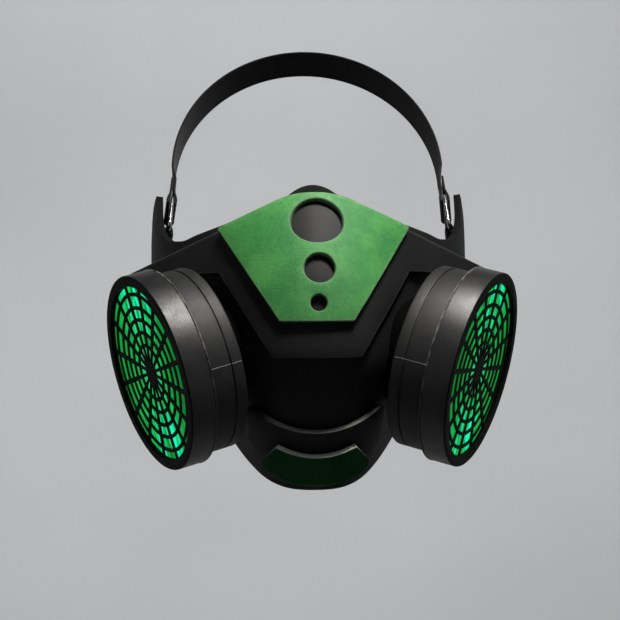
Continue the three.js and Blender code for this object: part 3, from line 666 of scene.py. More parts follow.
def satin_plastic(name, light, dark, roughness, specular=0.5, rubbed=None):
    """Moulded satin plastic, faintly turned round its axis, with handling marks. rubbed is the colour of
    pale patches on a rim, partly handling wear and partly a painted highlight where light from above catches
    it, laid most of all on its upper half."""
    f = Finish(name)
    spread = f.noise(34, 3, 0.55)
    smudge = f.noise(6, 4, 0.6)
    parts = f.node("ShaderNodeSeparateXYZ", None, {0: f.place}, 2)
    lines = f.noise(1, 2, 0.6, where=f.node("ShaderNodeCombineXYZ", None, {0: parts * 2.2, 1: smudge * 0.4}))
    peel = f.noise(0.9, 2)
    scuffs = f.noise(1.4, 5, 0.75, stretch=(0.35, 1, 1.5)).between(0.68, 0.78)
    colour = f.blend((spread * 0.6 + smudge * 0.4).between(0.3, 0.7), dark, light)
    x = f.node("ShaderNodeSeparateXYZ", None, {0: f.place}, 0)
    y = f.node("ShaderNodeSeparateXYZ", None, {0: f.place}, 1)
    round_axis = y.maths("ARCTAN2", y, x)
    turned_at = f.node("ShaderNodeCombineXYZ", None, {0: round_axis * 7, 1: parts * 1.6})
    streaks = f.noise(1, 4, 0.68, where=turned_at)
    scratch = f.noise(0.45, 3, 0.6, where=turned_at).between(0.66, 0.74)
    colour = f.blend(streaks.between(0.35, 0.75) * 0.5, colour, dark)
    if rubbed:
        # Painted highlight mixed with wear: the pale patches are weighted to the upper half, where light
        # from above catches the bead.
        height = y.between(-34, 12)
        patches = f.noise(5, 4, 0.7).between(0.4, 0.62) * (height * 0.75 + 0.12)
        colour = f.blend(patches, colour, rubbed)
    rough = roughness + (smudge - 0.5) * 0.24 + (streaks - 0.5) * 0.3 + scuffs * 0.2 + scratch * 0.12
    grain = f.noise(0.8, 4, 0.7)
    relief = lines * 0.35 + peel * 0.3 + grain * 0.9 + streaks * 0.7 - scuffs * 0.4 - scratch * 0.6
    return f.finish(colour, rough, relief, 0.13, 0.85, Specular_IOR_Level=specular)


def matte_plastic(name, light, dark, roughness, specular=0.12):
    f = Finish(name)
    cast = f.noise(0.55, 3, 0.7)
    patches = f.noise(11, 3)
    colour = f.blend(patches.between(0.35, 0.65), dark, light)
    return f.finish(colour, roughness + (patches - 0.5) * 0.1, cast, 0.05, 0.7, Specular_IOR_Level=specular)


def lit_disc(name, inner):
    """Frosted disc lit from behind through a ribbed sheet. Its middle strip flashes bluer and brighter
    towards the top and foot, and it fades towards the face, which lies along inner on its own X."""
    f = Finish(name)
    x = f.node("ShaderNodeSeparateXYZ", None, {0: f.place}, 0)
    y = f.node("ShaderNodeSeparateXYZ", None, {0: f.place}, 1)
    wander = (f.noise(11, 2, stretch=(1, 0.5, 1)) - 0.5) * 5
    middle = 1 - (x.maths("ABSOLUTE", x + wander)).between(8, 26)
    rib = f.noise(2.7, 2, 0.6, stretch=(1, 0.09, 0)).between(0.44, 0.56)
    band = f.noise(6.5, 1, 0.5, stretch=(1, 0.22, 0)).between(0.46, 0.56)
    ends = y.maths("ABSOLUTE", y).between(14, 34)
    near_hub = 1 - (x * x + y * y).between(100, 300)
    glow = f.blend(rib * (middle * 0.7 + 0.3), GLOW_MID, GLOW_LIGHT)
    glow = f.blend((1 - rib) * (1 - band) * middle * 0.75, glow, GLOW_DEEP)
    glow = f.blend(middle * ends * band, glow, GLOW_FLASH)
    glow = f.blend(near_hub * 0.7, glow, GLOW_HUB)
    fade = 1 - (x * inner).between(6, 46) * 0.62 - (x * -inner).between(18, 48) * 0.3
    fade = fade * (f.noise(14, 2).between(0.25, 0.75) * 0.22 + 0.89)
    dimmed = f.node("ShaderNodeVectorMath", {"operation": "SCALE"}, {0: glow, "Scale": fade})
    return f.finish(tint(4, 30, 12), 0.6 - rib * 0.1, rib, 0.2, 0.5, Specular_IOR_Level=0.1,
                    Emission_Color=dimmed, Emission_Strength=1.0)


def chromed_wire(name):
    f = Finish(name)
    haze = f.noise(2.2, 3)
    scratch = f.noise(0.6, 4, 0.7, stretch=(1, 1, 0.2))
    colour = f.blend(haze.between(0.35, 0.7), tint(186, 188, 190), tint(214, 216, 218))
    return f.finish(colour, 0.16 + haze * 0.16, scratch, 0.012, 0.6, Metallic=1.0)


def woven_webbing(name, light, dark):
    """Twill webbing: ribs across, yarns along, and a firm selvedge down each side."""
    f = Finish(name)
    along, across = f.reading("along"), f.reading("across")
    weft = (along * (2 * math.pi / 1.5)).maths("SINE", along * (2 * math.pi / 1.5))
    twill = (along * 2.1 + across * 4.2)
    warp = twill.maths("SINE", twill)
    selvedge = across.maths("ABSOLUTE", across).between(8.6, 9.4)
    yarn = f.noise(0.5, 3, 0.7)
    height = (warp * 0.25 + 0.5) * (1 - selvedge) + selvedge * (weft * 0.3 + 0.5) + yarn * 0.25
    colour = f.blend((height * 0.7 + f.noise(8, 2) * 0.3).between(0.25, 0.85), dark, light)
    return f.finish(colour, 0.7 + (yarn - 0.5) * 0.2, height, 0.16, 0.9, Sheen_Weight=0.05,
                    Specular_IOR_Level=0.15)


def floor_paint(name):
    f = Finish(name)
    colour = f.blend(f.noise(700, 2).between(0.2, 0.8), tint(196, 197, 198), tint(206, 207, 208))
    return f.finish(colour, 0.85 + (f.noise(240, 2) - 0.5) * 0.1)


BLACK_LEATHER = grained_leather("black leather", tint(17, 18, 18), tint(10, 11, 11), 0.62, 0.5,
                                (tint(30, 30, 29), 0.3), 0.2)
SHIELD_LEATHER = grained_leather("shield leather", tint(17, 18, 18), tint(9, 10, 10), 0.6, 0.6,
                                 (tint(44, 44, 42), 0.3), 0.22)
GREEN_LEATHER = grained_leather("green leather", tint(60, 126, 60), tint(36, 103, 48), 0.6, 1.3,
                                (tint(108, 134, 98), 0.5), 0.3, relief=0.13)
# Painted shade: the chin panel is the nose panel's green leather, painted much darker for the shade under
# the muzzle.
CHIN_LEATHER_IN_PAINTED_SHADE = grained_leather("chin green leather", tint(12, 66, 27), tint(7, 48, 18), 0.7, 0.85,
                               (tint(20, 60, 28), 0.3), 0.08)
SHIELD_EDGE = raw_edge("shield cut edge", tint(70, 69, 67), tint(36, 35, 34))
# Painted highlight: the chin guard's cut edge is pale grey within 24 mm of the middle, where light from
# above catches its top edge, and takes the dressed black edge colour beyond.
GUARD_EDGE_HIGHLIT = raw_edge("chin guard cut edge", tint(158, 156, 151), tint(100, 99, 96), pale=(0, 24, -1))
BASE_EDGE = raw_edge("shell cut edge", tint(22, 21, 21), tint(9, 9, 8), 0.75, (1, 54, 1), 0.05)
GREEN_EDGE = raw_edge("green leather cut edge", tint(98, 132, 96), tint(34, 64, 37))
# Painted highlight: the chin panel's cut edge is pale green-white within 24 mm of the middle, where light
# from above catches its top edge, and takes the dressed black edge colour beyond.
CHIN_EDGE_HIGHLIT = raw_edge("chin panel cut edge", tint(226, 232, 222), tint(164, 174, 160), pale=(0, 24, -1))
PAD_LEATHER = grained_leather("pad leather", tint(15, 16, 16), tint(9, 10, 10), 0.8, 0.5,
                              (tint(32, 32, 30), 0.3), 0.08, 0.6)
KEEPER_LEATHER = grained_leather("keeper leather", tint(30, 30, 29), tint(14, 14, 13), 0.65, 1.0,
                                 (tint(80, 79, 75), 0.5), 0.25, 0.7)
CAP_PLASTIC = satin_plastic("cap plastic", tint(26, 27, 28), tint(17, 18, 19), 0.4, 0.52)
BODY_PLASTIC = satin_plastic("canister body plastic", tint(24, 25, 25), tint(15, 16, 16), 0.56, 0.36)
# Painted highlight and wear: the cap's rear bead is paler than the cap and carries pale patches on its upper
# half.
RUBBED_AND_HIGHLIT_PLASTIC = satin_plastic("rubbed plastic edge", tint(40, 40, 38), tint(26, 26, 25), 0.45, 0.4,
                               tint(112, 110, 104))
GRILLE_PLASTIC = matte_plastic("grille plastic", tint(5, 6, 5), tint(3, 4, 3), 0.7)
# Black plastic, and painted shade: the neck is made near black, darker than the other plastics, for the
# shade between canister and shell.
NECK_PLASTIC_IN_PAINTED_SHADE = matte_plastic("neck plastic", tint(3, 3, 3), tint(1, 1, 1), 0.9, 0.03)
DISC_GLOW = {side: lit_disc(f"lit disc {word}", -side) for side, word in ((1, "left"), (-1, "right"))}
STEEL = chromed_wire("chromed wire")
WEBBING = woven_webbing("woven webbing", tint(24, 24, 25), tint(8, 8, 9))
FLOOR_PAINT = floor_paint("floor paint")


# ---------------------------------------------------------------------------------------------------------
# Shell, sheets and pad
# ---------------------------------------------------------------------------------------------------------
def settle(piece, slot, *nodes):
    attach(piece, "root")
    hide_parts(*nodes)
    return piece


def make_base_shell():
    shares = np.concatenate([np.linspace(0, 0.66, 60), np.linspace(0.66, 0.999, 61)[1:]])
    shares = np.concatenate([-shares[:0:-1], shares])
    bottom, top = base_edges(shares)
    rows = np.linspace(0, 1, 61)
    z = bottom + (top - bottom) * rows[:, None]
    u = np.broadcast_to(shares, z.shape)
    outer, inner = (lifted(base_point, u, z, np.full(z.shape, lift)) for lift in (0, -BASE_WALL))
    height, width = z.shape
    number = np.arange(height * width).reshape(height, width)
    faces, face_slots = [], []
    for side in (0, height * width):
        for j in range(height - 1):
            for i in range(width - 1):
                a, b = number[j, i] + side, number[j, i + 1] + side
                c, d = number[j + 1, i + 1] + side, number[j + 1, i] + side
                faces.append((a, b, c, d))
                face_slots.append(0)
    edge = [*number[0, :], *number[1:, -1], *number[-1, -2::-1], *number[-2:0:-1, 0]]
    for a, b in zip(edge, edge[1:] + edge[:1]):
        faces.append((a, b, b + height * width, a + height * width))
        face_slots.append(1)
    down = np.minimum(z - bottom, top - z)
    rim = np.clip(1 - down / BASE_RIM_WIDTH, 0, 1).ravel()
    readings = {"rim": np.concatenate([rim, rim]),
                "layer": np.concatenate([np.zeros(z.size), np.ones(z.size)])}
    piece = new_piece("base_shell_leather", np.concatenate([outer.reshape(-1, 3), inner.reshape(-1, 3)]),
                      faces, [BLACK_LEATHER, BASE_EDGE], face_slots, readings)
    bevel = piece.modifiers.new("eased edges", "BEVEL")
    bevel.width, bevel.segments, bevel.angle_limit = 0.55 * MM, 3, math.radians(50)
    apply_modifiers(piece)
    piece.data.set_sharp_from_angle(angle=math.radians(40))
    return settle(piece, "black_leather", "base_shell")


def make_shield():
    s = SHIELD
    xs = np.linspace(-s["tip_x"], s["tip_x"], 133)
    bottom = [(-s["tip_x"], s["under_z"]), (-s["notch_x"], s["notch_z"]), (-s["chin_half"], s["chin_z"]),
              (s["chin_half"], s["chin_z"]), (s["notch_x"], s["notch_z"]), (s["tip_x"], s["under_z"])]
    loop = rounded(bottom + [(x, float(shield_top(x))) for x in xs[::-1]], 0.9, 1.3)
    place = on_sheet(on_shield, SHEET_GAP, SHEET)
    piece = cut_plate("front_shield_leather", [loop], [eased(SHEET, 0.55, 0.3, 4)], place, 2.2,
                      [SHIELD_LEATHER, SHIELD_EDGE], edge_from=0.03)
    return settle(piece, "shield_leather", "front_shield")


def panel_hole(x0, z, radius, place):
    """A round opening, bored square to the panel at its own middle, as the front view shows its rim."""
    count = max(28, int(radius * 6))
    angles = -2 * math.pi * np.arange(count) / count
    x, along = x0 + radius * np.cos(angles), radius * np.sin(angles)
    foot = on_shield(0, z)
    axis = lifted(on_shield, np.array(0.0), np.array(z), np.array(1.0)) - foot
    up = np.array([0, axis[2], -axis[1]])
    reach = 2 * radius + SHEET
    over = lambda level: (place(np.stack([x, level], -1), 0) - foot) @ up > along
    middle = float(place(np.array([[0, z]]), 0)[0, 2])
    level = bisect(over, np.full(count, middle - reach), np.full(count, middle + reach), 24)
    return np.stack([x, level], -1)


HOLE_EDGE = [(0.8, 0), (0.5, 0.06), (0.25, 0.24), (0.08, 0.55), (0, 1.0), (0, SHEET - 0.3), (0.3, SHEET)]


def make_nose_panel():
    p = PANEL
    corner = (p["corner_x"], float(top_line(p["corner_x"])) - p["corner_height"] / 2)
    xs = np.linspace(-p["corner_x"] + 1.5, p["corner_x"] - 1.5, 79)
    corners = [(-corner[0], corner[1]), (-p["foot_half"], p["foot_z"]), (p["foot_half"], p["foot_z"]),
               corner]
    loop = rounded(corners + [(x, float(top_line(x))) for x in xs[::-1]], 0.9, 1.2)
    place = on_sheet(on_shield, 2 * SHEET_GAP + SHEET, SHEET)
    holes = [panel_hole(*hole, place) for hole in PANEL_HOLES]
    profiles = [eased(SHEET, 0.45, 0.3)] + [HOLE_EDGE] * 3
    piece = cut_plate("nose_panel_leather", [loop, *holes], profiles, place, 1.8,
                      [GREEN_LEATHER, GREEN_EDGE])
    return settle(piece, "green_leather", "nose_panel")


def make_chin_sheet(name, s, slots, slot, node):
    def top(x):
        across = abs(x)
        if across <= s["corner_half"]:
            return s["top_z"] + s["rise"] * (across / s["corner_half"]) ** 2
        along = (across - s["corner_half"]) / (s["half"] - s["corner_half"])
        return s["top_z"] + s["rise"] + along * (s["shoulder_z"] - s["top_z"] - s["rise"])

    def bottom(x):
        return s["foot_z"] + s["foot_rise"] * (abs(x) / s["half"]) ** s["foot_power"]

    loop = rounded(between(bottom, top, s["half"], 1.2), 0.9, 1.1)
    piece = cut_plate(name, [loop], [eased(SHEET, 0.4, 0.3)], on_sheet(on_base, s["lift"], SHEET), 1.9,
                      slots)
    return settle(piece, slot, node)


def make_nose_pad():
    p = NOSE_PAD
    top = lambda x: p["top_z"] - p["arch_drop"] * (abs(x) / p["arch_half"]) ** 2
    loop = rounded(between(lambda x: p["bottom_z"], top, p["half"], 1.2), 2.2, 1.0)
    crown = [(2.1, 0), (1.4, 0.06), (0.8, 0.2), (0.3, 0.45), (0.04, 0.75)]
    profile = crown + [(step, PAD_WALL - depth) for step, depth in crown[::-1]]
    lift = -BASE_WALL - SHEET_GAP - PAD_WALL
    piece = cut_plate("nose_bridge_pad", [loop], [profile], on_sheet(on_base, lift, PAD_WALL), 1.6,
                      [PAD_LEATHER])
    return settle(piece, "pad", "nose_pad")


# ---------------------------------------------------------------------------------------------------------
# Filter canisters
# ---------------------------------------------------------------------------------------------------------
def canister_frame(side):
    """Where a canister stands: its own Z outwards, its own Y up. side is 1 at the wearer's left, else -1."""
    yaw, pitch = CANISTER_YAW, CANISTER_PITCH
    outwards = Vector((side * math.sin(yaw) * math.cos(pitch), -math.cos(yaw) * math.cos(pitch),
                       -math.sin(pitch)))
    across = Vector((0, 0, 1)).cross(outwards).normalized()
    up = outwards.cross(across)
    matrix = Matrix((across, up, outwards)).transposed().to_4x4()
    matrix.translation = Vector((side * CANISTER_AT[0], CANISTER_AT[1], CANISTER_AT[2])) * MM
    return matrix


def arc(cx, cz, radius, start, end, steps=4):
    """Profile places round a corner, angles in degrees from outwards."""
    return [(cx + radius * math.cos(math.radians(a)), cz + radius * math.sin(math.radians(a)))
            for a in np.linspace(start, end, steps + 1)]


def make_canister(side):
    matrix = canister_frame(side)
    word = "left" if side > 0 else "right"
    sleeve, bore = BODY_RADIUS - SLEEVE_STEP, BODY_RADIUS - SLEEVE_STEP - CANISTER_WALL
    ease, floor = 0.25, BODY_RADIUS - GROOVE_DEPTH
    body_end = CAP_START - GAP
    body = [(0, 0), *arc(BODY_RADIUS - 1.2, 1.2, 1.2, -90, 0),
            *arc(BODY_RADIUS - ease, GROOVE - ease, ease, 0, 90), (floor, GROOVE + 0.05),
            (floor, GROOVE + GROOVE_WIDTH - 0.05),
            *arc(BODY_RADIUS - ease, GROOVE + GROOVE_WIDTH + ease, ease, -90, 0),
            *arc(BODY_RADIUS - ease, body_end - ease, ease, 0, 90), (sleeve, body_end), (sleeve, SLEEVE_END),
            (bore, SLEEVE_END), (bore, CANISTER_WALL), (0, CANISTER_WALL)]
    piece = turned(f"filter_body_{word}_shell", body, [BODY_PLASTIC], None, matrix,
                   seam=(SEAM_ANGLES[side], side, SEAM_RISE, SEAM_FROM, body_end - 0.1))
    settle(piece, "canister_plastic", f"filter_body_{word}")

    inner, lip = sleeve + GAP, CANISTER_LENGTH - GRILLE_RECESS
    bead = CAP_BEAD / 2
    cap = [(inner, CAP_START), (CAP_RADIUS - bead, CAP_START),
           *arc(CAP_RADIUS - bead + BEAD_PROUD, CAP_START + bead, bead, -90, 90),
           (CAP_RADIUS, CAP_START + CAP_BEAD + 0.3),
           *arc(CAP_RADIUS - 0.9, CANISTER_LENGTH - 0.9, 0.9, 0, 90),
           *arc(BEZEL_RADIUS + 0.5, CANISTER_LENGTH - 0.5, 0.5, 90, 180), (BEZEL_RADIUS, lip), (inner, lip),
           (inner, CAP_START)]

    def cap_slot(a, b):
        """The bezel's face is grille plastic and the rear bead rubbed plastic with a painted highlight; the
        rest is cap plastic.
        """
        low, high = sorted((a[1], b[1]))
        if low >= lip - 0.01 and b[0] < CAP_RADIUS - 0.2 and high > CANISTER_LENGTH - 0.75:
            return 1
        if a[0] > CAP_RADIUS - bead and high <= CAP_START + CAP_BEAD + 0.01:
            return 2
        return 0
    piece = turned(f"filter_cap_{word}_ring", cap, [CAP_PLASTIC, GRILLE_PLASTIC, RUBBED_AND_HIGHLIT_PLASTIC], cap_slot,
                   matrix, segments=160)
    settle(piece, "canister_plastic", f"filter_cap_{word}")

    piece = make_grille(f"filter_grille_{word}_web", matrix, GRILLE_TURNS[side])
    settle(piece, "grille_plastic", f"filter_grille_{word}")

    face = CANISTER_LENGTH - GRILLE_RECESS - GAP - GRILLE_WALL - DISC_BEHIND
    back = face - DISC_WALL
    disc = [(0, back), (DISC_RADIUS - 0.4, back), (DISC_RADIUS, back + 0.4), (DISC_RADIUS, face - 0.75),
            (DISC_LIP, face - 0.75), *arc(DISC_LIP - 0.3, face - 0.3, 0.3, 0, 90),
            (DISC_RADIUS * 0.6, face + 0.05), (0, face + 0.1)]
    piece = turned(f"filter_disc_{word}", disc, [DISC_GLOW[side]], None, matrix)
    settle(piece, "glow_plastic", f"filter_diffuser_{word}")

    piece = make_neck(f"filter_neck_{word}_spigot", matrix)
    settle(piece, "neck_plastic", f"filter_neck_{word}")


def make_grille(name, matrix, turn):
    """A flat web of spokes and rings with a hub."""
    rim = circle(0, 0, BODY_RADIUS - SLEEVE_STEP, 160)[::-1]
    pitch = 2 * math.pi / SPOKES
    inners = [HUB_RADIUS] + [r + RING_BAR / 2 for r in RING_BARS]
    outers = [r - RING_BAR / 2 for r in RING_BARS] + [WINDOW_RADIUS]
    windows = []
    for k in range(SPOKES):
        for inner, outer in zip(inners, outers):
            start = turn + k * pitch
            window = []
            for radius, order in ((outer, 1), (inner, -1)):
                wide = np.interp(radius, [SPOKE_TAPER_FROM, SPOKE_TAPER_TO], [SPOKE_AT_HUB, SPOKE_WIDTH])
                slack = math.asin(wide / 2 / radius)
                sweep = np.linspace(start + slack, start + pitch - slack, max(3, int(radius / 4)))
                window += [(radius * math.cos(a), radius * math.sin(a)) for a in sweep[::order]]
            windows.append(rounded(window, 0.35, 6)[::-1])
    top = CANISTER_LENGTH - GRILLE_RECESS - GAP

    def place(pattern, depth):
        return np.column_stack([pattern, np.full(len(pattern), top - depth)])

    edge = [(0.22, 0), (0, 0.22), (0, GRILLE_WALL)]
    return cut_plate(name, [rim, *windows], [edge] * (1 + len(windows)), place, 3.0, [GRILLE_PLASTIC],
                     matrix)


def make_neck(name, matrix):
    """A spigot from the canister's rear face down to the curved side of the shell."""
    angles = 2 * math.pi * np.arange(96) / 96
    frame_of = np.array(matrix)
    across, up, outwards = frame_of[:3, 0], frame_of[:3, 1], frame_of[:3, 2]
    start = np.array(matrix.translation) / MM
    rim = start + NECK_RADIUS * (np.cos(angles)[:, None] * across + np.sin(angles)[:, None] * up)

    def in_shell(reach):
        point = rim - outwards * reach[:, None]
        share = bisect(lambda t: base_point(t, point[:, 2])[..., 1] > point[:, 1],
                       np.zeros(len(angles)), np.ones(len(angles)))
        return np.abs(point[:, 0]) < base_point(share, point[:, 2])[..., 0] + SHEET_GAP
    reach = bisect(in_shell, np.full(len(angles), 0.5), np.full(len(angles), float(NECK_REACH)))
    vertices = [rim - outwards * (GAP + (reach - GAP) * share)[:, None] for share in np.linspace(0, 1, 9)]
    inner = [start + (v - start - outwards * ((v - start) @ outwards)[:, None]) * NECK_BORE
             + outwards * ((v - start) @ outwards)[:, None] for v in (vertices[-1], vertices[0])]
    vertices += inner
    return new_piece(name, np.concatenate(vertices), bands(len(vertices), len(angles), True), [NECK_PLASTIC_IN_PAINTED_SHADE])


# ---------------------------------------------------------------------------------------------------------
# Strap hardware, in the tab's own frame: X outwards, Y across the strap, Z along it, upwards
# ---------------------------------------------------------------------------------------------------------
def turned_about(v, axis, angle):
    return v * math.cos(angle) + np.cross(axis, v) * math.sin(angle)


def tab_frame():
    down = RING["height"] / 2 - RING["rise"]
    foot_y = (TAB_FRONT_Y + TAB_REAR_Y) / 2 - down * math.cos(TAB_LEAN)
    foot_z = (TAB_TOP_Z + TAB_REAR_Z) / 2 - down * math.sin(TAB_LEAN)
    share = float(bisect(lambda t: base_point(t, foot_z)[..., 1] > foot_y, np.array(0.5), np.array(1.0)))
    share, z = np.array(share), np.array(float(foot_z))
    inside = lifted(base_point, share, z, np.array(-BASE_WALL))
    out = unit(base_point(share, z) - inside)
    up = np.array([0, math.cos(TAB_LEAN), math.sin(TAB_LEAN)])
    up = unit(up - out * (up @ out))
    across = np.cross(up, out)
    half = (RING["height"] - RING["wire"]) / 2
    lower = inside - out * RING["off_wall"] - up * half
    ring_up, ring_out = (turned_about(v, across, -RING["tilt"]) for v in (up, out))
    return lower + ring_up * half, ring_out, across, ring_up


TAB_CENTRE, TAB_OUT, TAB_ACROSS, TAB_UP = tab_frame()
HALF_RING = (RING["height"] - RING["wire"]) / 2


def at_tab(side, out, across, up):
    """A place in the tab's frame, at the wearer's left or mirrored to the right."""
    point = TAB_CENTRE + TAB_OUT * out + TAB_ACROSS * across + TAB_UP * up
    return point * np.array([side, 1, 1])


def make_ring(side, word):
    """A chromed wire bent to a rounded rectangle."""
    half_wide, half_high = (RING[k] / 2 - RING["wire"] / 2 for k in ("width", "height"))
    corner = RING["corner"] - RING["wire"] / 2
    path = []
    for cx, cz, start in ((1, 1, 0), (-1, 1, 90), (-1, -1, 180), (1, -1, 270)):
        for a in np.linspace(start, start + 90, 9):
            path.append((cx * (half_wide - corner) + corner * math.cos(math.radians(a)),
                         cz * (half_high - corner) + corner * math.sin(math.radians(a))))
    path = np.array(path)
    along = np.roll(path, -1, 0) - np.roll(path, 1, 0)
    outward = np.stack([along[:, 1], -along[:, 0]], -1)
    outward /= np.linalg.norm(outward, axis=1, keepdims=True)
    mirror = np.array([side, 1, 1])
    middles = [at_tab(side, 0, a, b) for a, b in path]
    sides = [(TAB_ACROSS * n[0] + TAB_UP * n[1]) * mirror for n in outward]
    outs = [TAB_OUT * mirror] * len(path)
    radius = RING["wire"] / 2
    section = [(radius * math.cos(a), radius * math.sin(a)) for a in np.linspace(0, 2 * math.pi, 17)[:-1]]
    piece = swept(f"strap_ring_{word}_wire", middles, sides, outs, section, [STEEL], closed=True)
    return settle(piece, "steel", f"strap_ring_{word}")


def make_keeper(side, word):
    """A leather strip folded under the ring's lower bar, its legs sewn together above the bar."""
    k = KEEPER
    bar = -HALF_RING
    gap = RING["wire"] / 2 + k["slack"]
    middle = gap + k["wall"] / 2
    path = [(middle, bar + v) for v in np.linspace(k["outer_leg"], 0, 10)]
    path += [(middle * math.cos(a), bar + middle * math.sin(a)) for a in np.linspace(0, -math.pi, 13)[1:-1]]
    path += [(-middle, bar + v) for v in np.linspace(0, k["inner_leg"], 13)]
    path = np.array(path)
    above = np.clip((path[:, 1] - bar - 1.5) / 3, 0, 1)
    path[:, 0] *= 1 - 0.55 * above * above * (3 - 2 * above)
    along = np.gradient(path, axis=0)
    normal = np.stack([along[:, 1], -along[:, 0]], -1)
    normal /= np.linalg.norm(normal, axis=1, keepdims=True)
    columns = np.linspace(-k["width"] / 2, k["width"] / 2, 15)
    half = k["wall"] / 2
    rounding = [0.25, 0.75] + [1] * (len(columns) - 4) + [0.75, 0.25]
    section = [(c, half * r) for c, r in zip(columns, rounding)]
    section += [(c, -half * r) for c, r in zip(columns[::-1], rounding[::-1])]
    rng = np.random.default_rng(7 if side > 0 else 11)
    waves = rng.uniform(0, 2 * math.pi, (3, 4))
    mirror = np.array([side, 1, 1])
    vertices = []
    for row, ((out, up), (n_out, n_up)) in enumerate(zip(path, normal)):
        for c, depth in section:
            s = row / len(path) * 9
            crease = sum(math.sin(waves[0, j] + s * (1.1 + j * 0.8))
                         * math.sin(waves[1, j] + c * (0.25 + 0.21 * j)) for j in range(4)) * 0.12
            d = depth + crease
            vertices.append((TAB_CENTRE + TAB_OUT * (out + n_out * d) + TAB_ACROSS * c
                             + TAB_UP * (up + n_up * d)) * mirror)
    count = len(section)
    faces = [*bands(len(path), count), list(range(count))]
    faces.append([count * (len(path) - 1) + j for j in range(count)])
    piece = new_piece(f"ring_keeper_{word}_strip", np.array(vertices), faces, [KEEPER_LEATHER],
                      readings={"rim": np.zeros(len(vertices))})
    return settle(piece, "keeper_leather", f"ring_keeper_{word}")


def make_strap():
    """Webbing folded round the ring's upper bar, then round the back of the head in one leaning plane."""
    s = STRAP
    turn = RING["wire"] / 2 + s["slack"] + s["wall"] / 2
    fold = [(s["pinch"], HALF_RING + v) for v in np.linspace(s["fold"], s["pinch_at"], 3)]
    lead = np.linspace(0, 1, 7)[1:-1]
    ease = lead * lead * (3 - 2 * lead)
    fold += [(s["pinch"] + (turn - s["pinch"]) * e, HALF_RING + s["pinch_at"] * (1 - t))
             for e, t in zip(ease, lead)]
    fold += [(turn * math.cos(a), HALF_RING - turn * math.sin(a)) for a in np.linspace(0, math.pi, 15)]
    fold += [(-x, z) for x, z in fold[7:2:-1]]
    fold += [(-s["pinch"], HALF_RING + v) for v in np.linspace(s["pinch_at"], s["fold"], 7)]
    middles = [TAB_CENTRE + TAB_OUT * out + TAB_UP * up for out, up in fold]
    level = np.array([0, math.sin(TAB_LEAN), -math.cos(TAB_LEAN)])
    up = np.array([0, math.cos(TAB_LEAN), math.sin(TAB_LEAN)])
    start = middles[-1]
    round_head = []
    for a in np.linspace(0, math.pi / 2, 49):
        middle = np.array([0, start[1], start[2]]) + up * (s["straight"] + s["head_reach"] * math.sin(a))
        middle[0] = s["side_x"] * math.cos(a)
        round_head.append(middle)
    lead_in = [start + (round_head[0] - start) * t for t in (0.34, 0.67)]
    middles += lead_in + round_head
    across = [TAB_ACROSS] * len(fold) + [unit(TAB_ACROSS * (1 - t) + level * t) for t in (0.34, 0.67)]
    across += [level] * len(round_head)
    mirror = np.array([-1, 1, 1])
    middles = np.array(middles + [m * mirror for m in middles[-2::-1]])
    across = np.array(across + [a * mirror for a in across[-2::-1]])
    steps = np.gradient(middles, axis=0)
    outward = np.cross(steps, across)
    outward /= np.linalg.norm(outward, axis=1, keepdims=True)
    lengths = np.concatenate([[0], np.cumsum(np.linalg.norm(np.diff(middles, axis=0), axis=1))])
    half, wall = s["width"] / 2, s["wall"] / 2
    columns = [-1, -0.985, -0.94, -0.87, -0.6, -0.3, 0, 0.3, 0.6, 0.87, 0.94, 0.985, 1]
    swell = [0.3, 0.75, 1, 0.86, 0.9, 0.9, 0.9, 0.9, 0.9, 0.86, 1, 0.75, 0.3]
    section = [(c * half, w * wall) for c, w in zip(columns, swell)]
    section += [(c * half, -w * wall) for c, w in zip(columns[::-1], swell[::-1])]
    readings = {"along": np.repeat(lengths, len(section)),
                "across": np.tile([c for c, _ in section], len(middles))}
    piece = swept("head_strap_webbing", middles, across, outward, section, [WEBBING], readings=readings)
    return settle(piece, "webbing", "head_strap")


# ---------------------------------------------------------------------------------------------------------
# Studio
# ---------------------------------------------------------------------------------------------------------
def make_camera():
    azimuth, elevation, roll = math.radians(-1.90), math.radians(2.0), math.radians(-0.45)
    back = Vector((math.sin(azimuth) * math.cos(elevation), -math.cos(azimuth) * math.cos(elevation),
                   math.sin(elevation)))
    right = Vector((0, 0, 1)).cross(back).normalized()
    up = back.cross(right)
    rolled_right = right * math.cos(roll) + up * math.sin(roll)
    rolled_up = up * math.cos(roll) - right * math.sin(roll)
    data = bpy.data.cameras.new("camera")
    data.lens, data.sensor_width = 106.9, 36
    camera = bpy.data.objects.new("camera", data)
    matrix = Matrix((rolled_right, rolled_up, back)).transposed().to_4x4()
    matrix.translation = Vector((-0.001, 0.030, -0.062)) + back * 1.0
    camera.matrix_world = matrix
    bpy.context.scene.collection.objects.link(camera)
    bpy.context.scene.camera = camera


def add_light(name, place, target, size, energy, spread, size_y, colour=(1, 1, 1)):
    data = bpy.data.lights.new(name, "AREA")
    data.shape, data.size, data.size_y = "RECTANGLE", size, size_y
    data.energy, data.spread, data.color = energy, math.radians(spread), colour
    light = bpy.data.objects.new(name, data)
    light.location = place
    light.rotation_euler = (Vector(place) - Vector(target)).to_track_quat("Z", "Y").to_euler()
    bpy.context.scene.collection.objects.link(light)


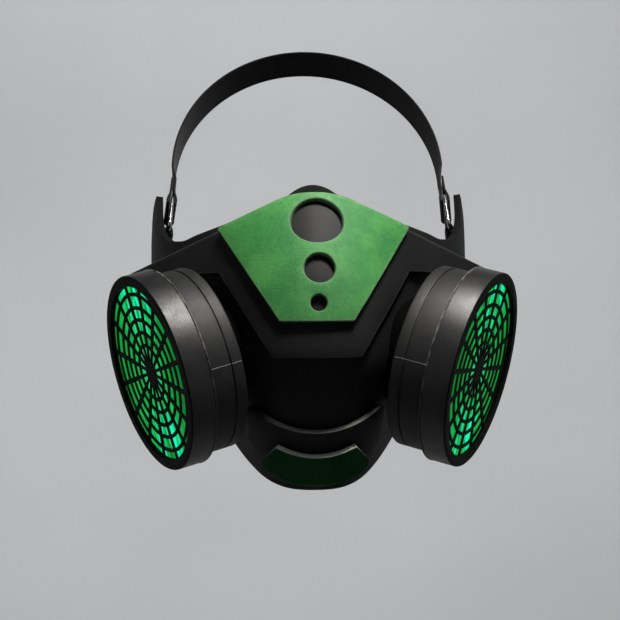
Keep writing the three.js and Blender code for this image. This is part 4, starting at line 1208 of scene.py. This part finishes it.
WALL_WASHES = [("rear wash", (0, 1), 26), ("left wash", (1, 0), 14), ("right wash", (-1, 0), 14),
               ("front wash", (0, -1), 6)]


def make_studio():
    """A pale floor that turns up into a wall all round, and one soft light high in front."""
    radius, bend, floor_z, wall = 3.2, 1.0, -0.75, 3.0
    profile = [(0, 0), (radius - bend, 0)]
    profile += [(radius - bend + bend * math.sin(a), bend * (1 - math.cos(a)))
                for a in np.linspace(0, math.pi / 2, 13)[1:]]
    profile += [(radius, wall)]
    count = 96
    angles = 2 * math.pi * np.arange(count) / count
    vertices = [np.stack([r * np.cos(angles), r * np.sin(angles), np.full(count, z + floor_z)], -1)
                for r, z in profile[1:]]
    faces = [tuple(range(count)), *bands(len(vertices), count)]
    floor = new_piece("studio_floor", np.concatenate(vertices) / MM, faces, [FLOOR_PAINT])
    world = bpy.data.worlds.new("studio air")
    world.use_nodes = True
    world.node_tree.nodes["Background"].inputs[0].default_value = (0.9, 0.95, 1.0, 1)
    world.node_tree.nodes["Background"].inputs[1].default_value = 0.01
    bpy.context.scene.world = world
    target = (0, 0, -0.06)
    lift, reach = math.radians(70), 0.62
    place = (0.13, -reach * math.cos(lift), target[2] + reach * math.sin(lift))
    add_light("key", place, target, 0.16, 1.03, spread=60, size_y=0.2, colour=(1, 0.97, 0.93))
    for name, (x, y), energy in WALL_WASHES:
        add_light(name, (1.1 * x, 1.1 * y, 1.7), (2.9 * x, 2.9 * y, 0), 2.2, energy, spread=120, size_y=0.8)


make_camera()
make_base_shell()
make_shield()
make_nose_panel()
make_chin_sheet("chin_guard_leather", CHIN_GUARD, [BLACK_LEATHER, GUARD_EDGE_HIGHLIT], "black_leather", "chin_guard")
make_chin_sheet("chin_panel_leather", CHIN_PANEL, [CHIN_LEATHER_IN_PAINTED_SHADE, CHIN_EDGE_HIGHLIT], "green_leather", "chin_panel")
make_nose_pad()
for side, word in ((1, "left"), (-1, "right")):
    make_canister(side)
    make_ring(side, word)
    make_keeper(side, word)
make_strap()
make_studio()

bpy.context.scene.view_settings.view_transform = "Standard"
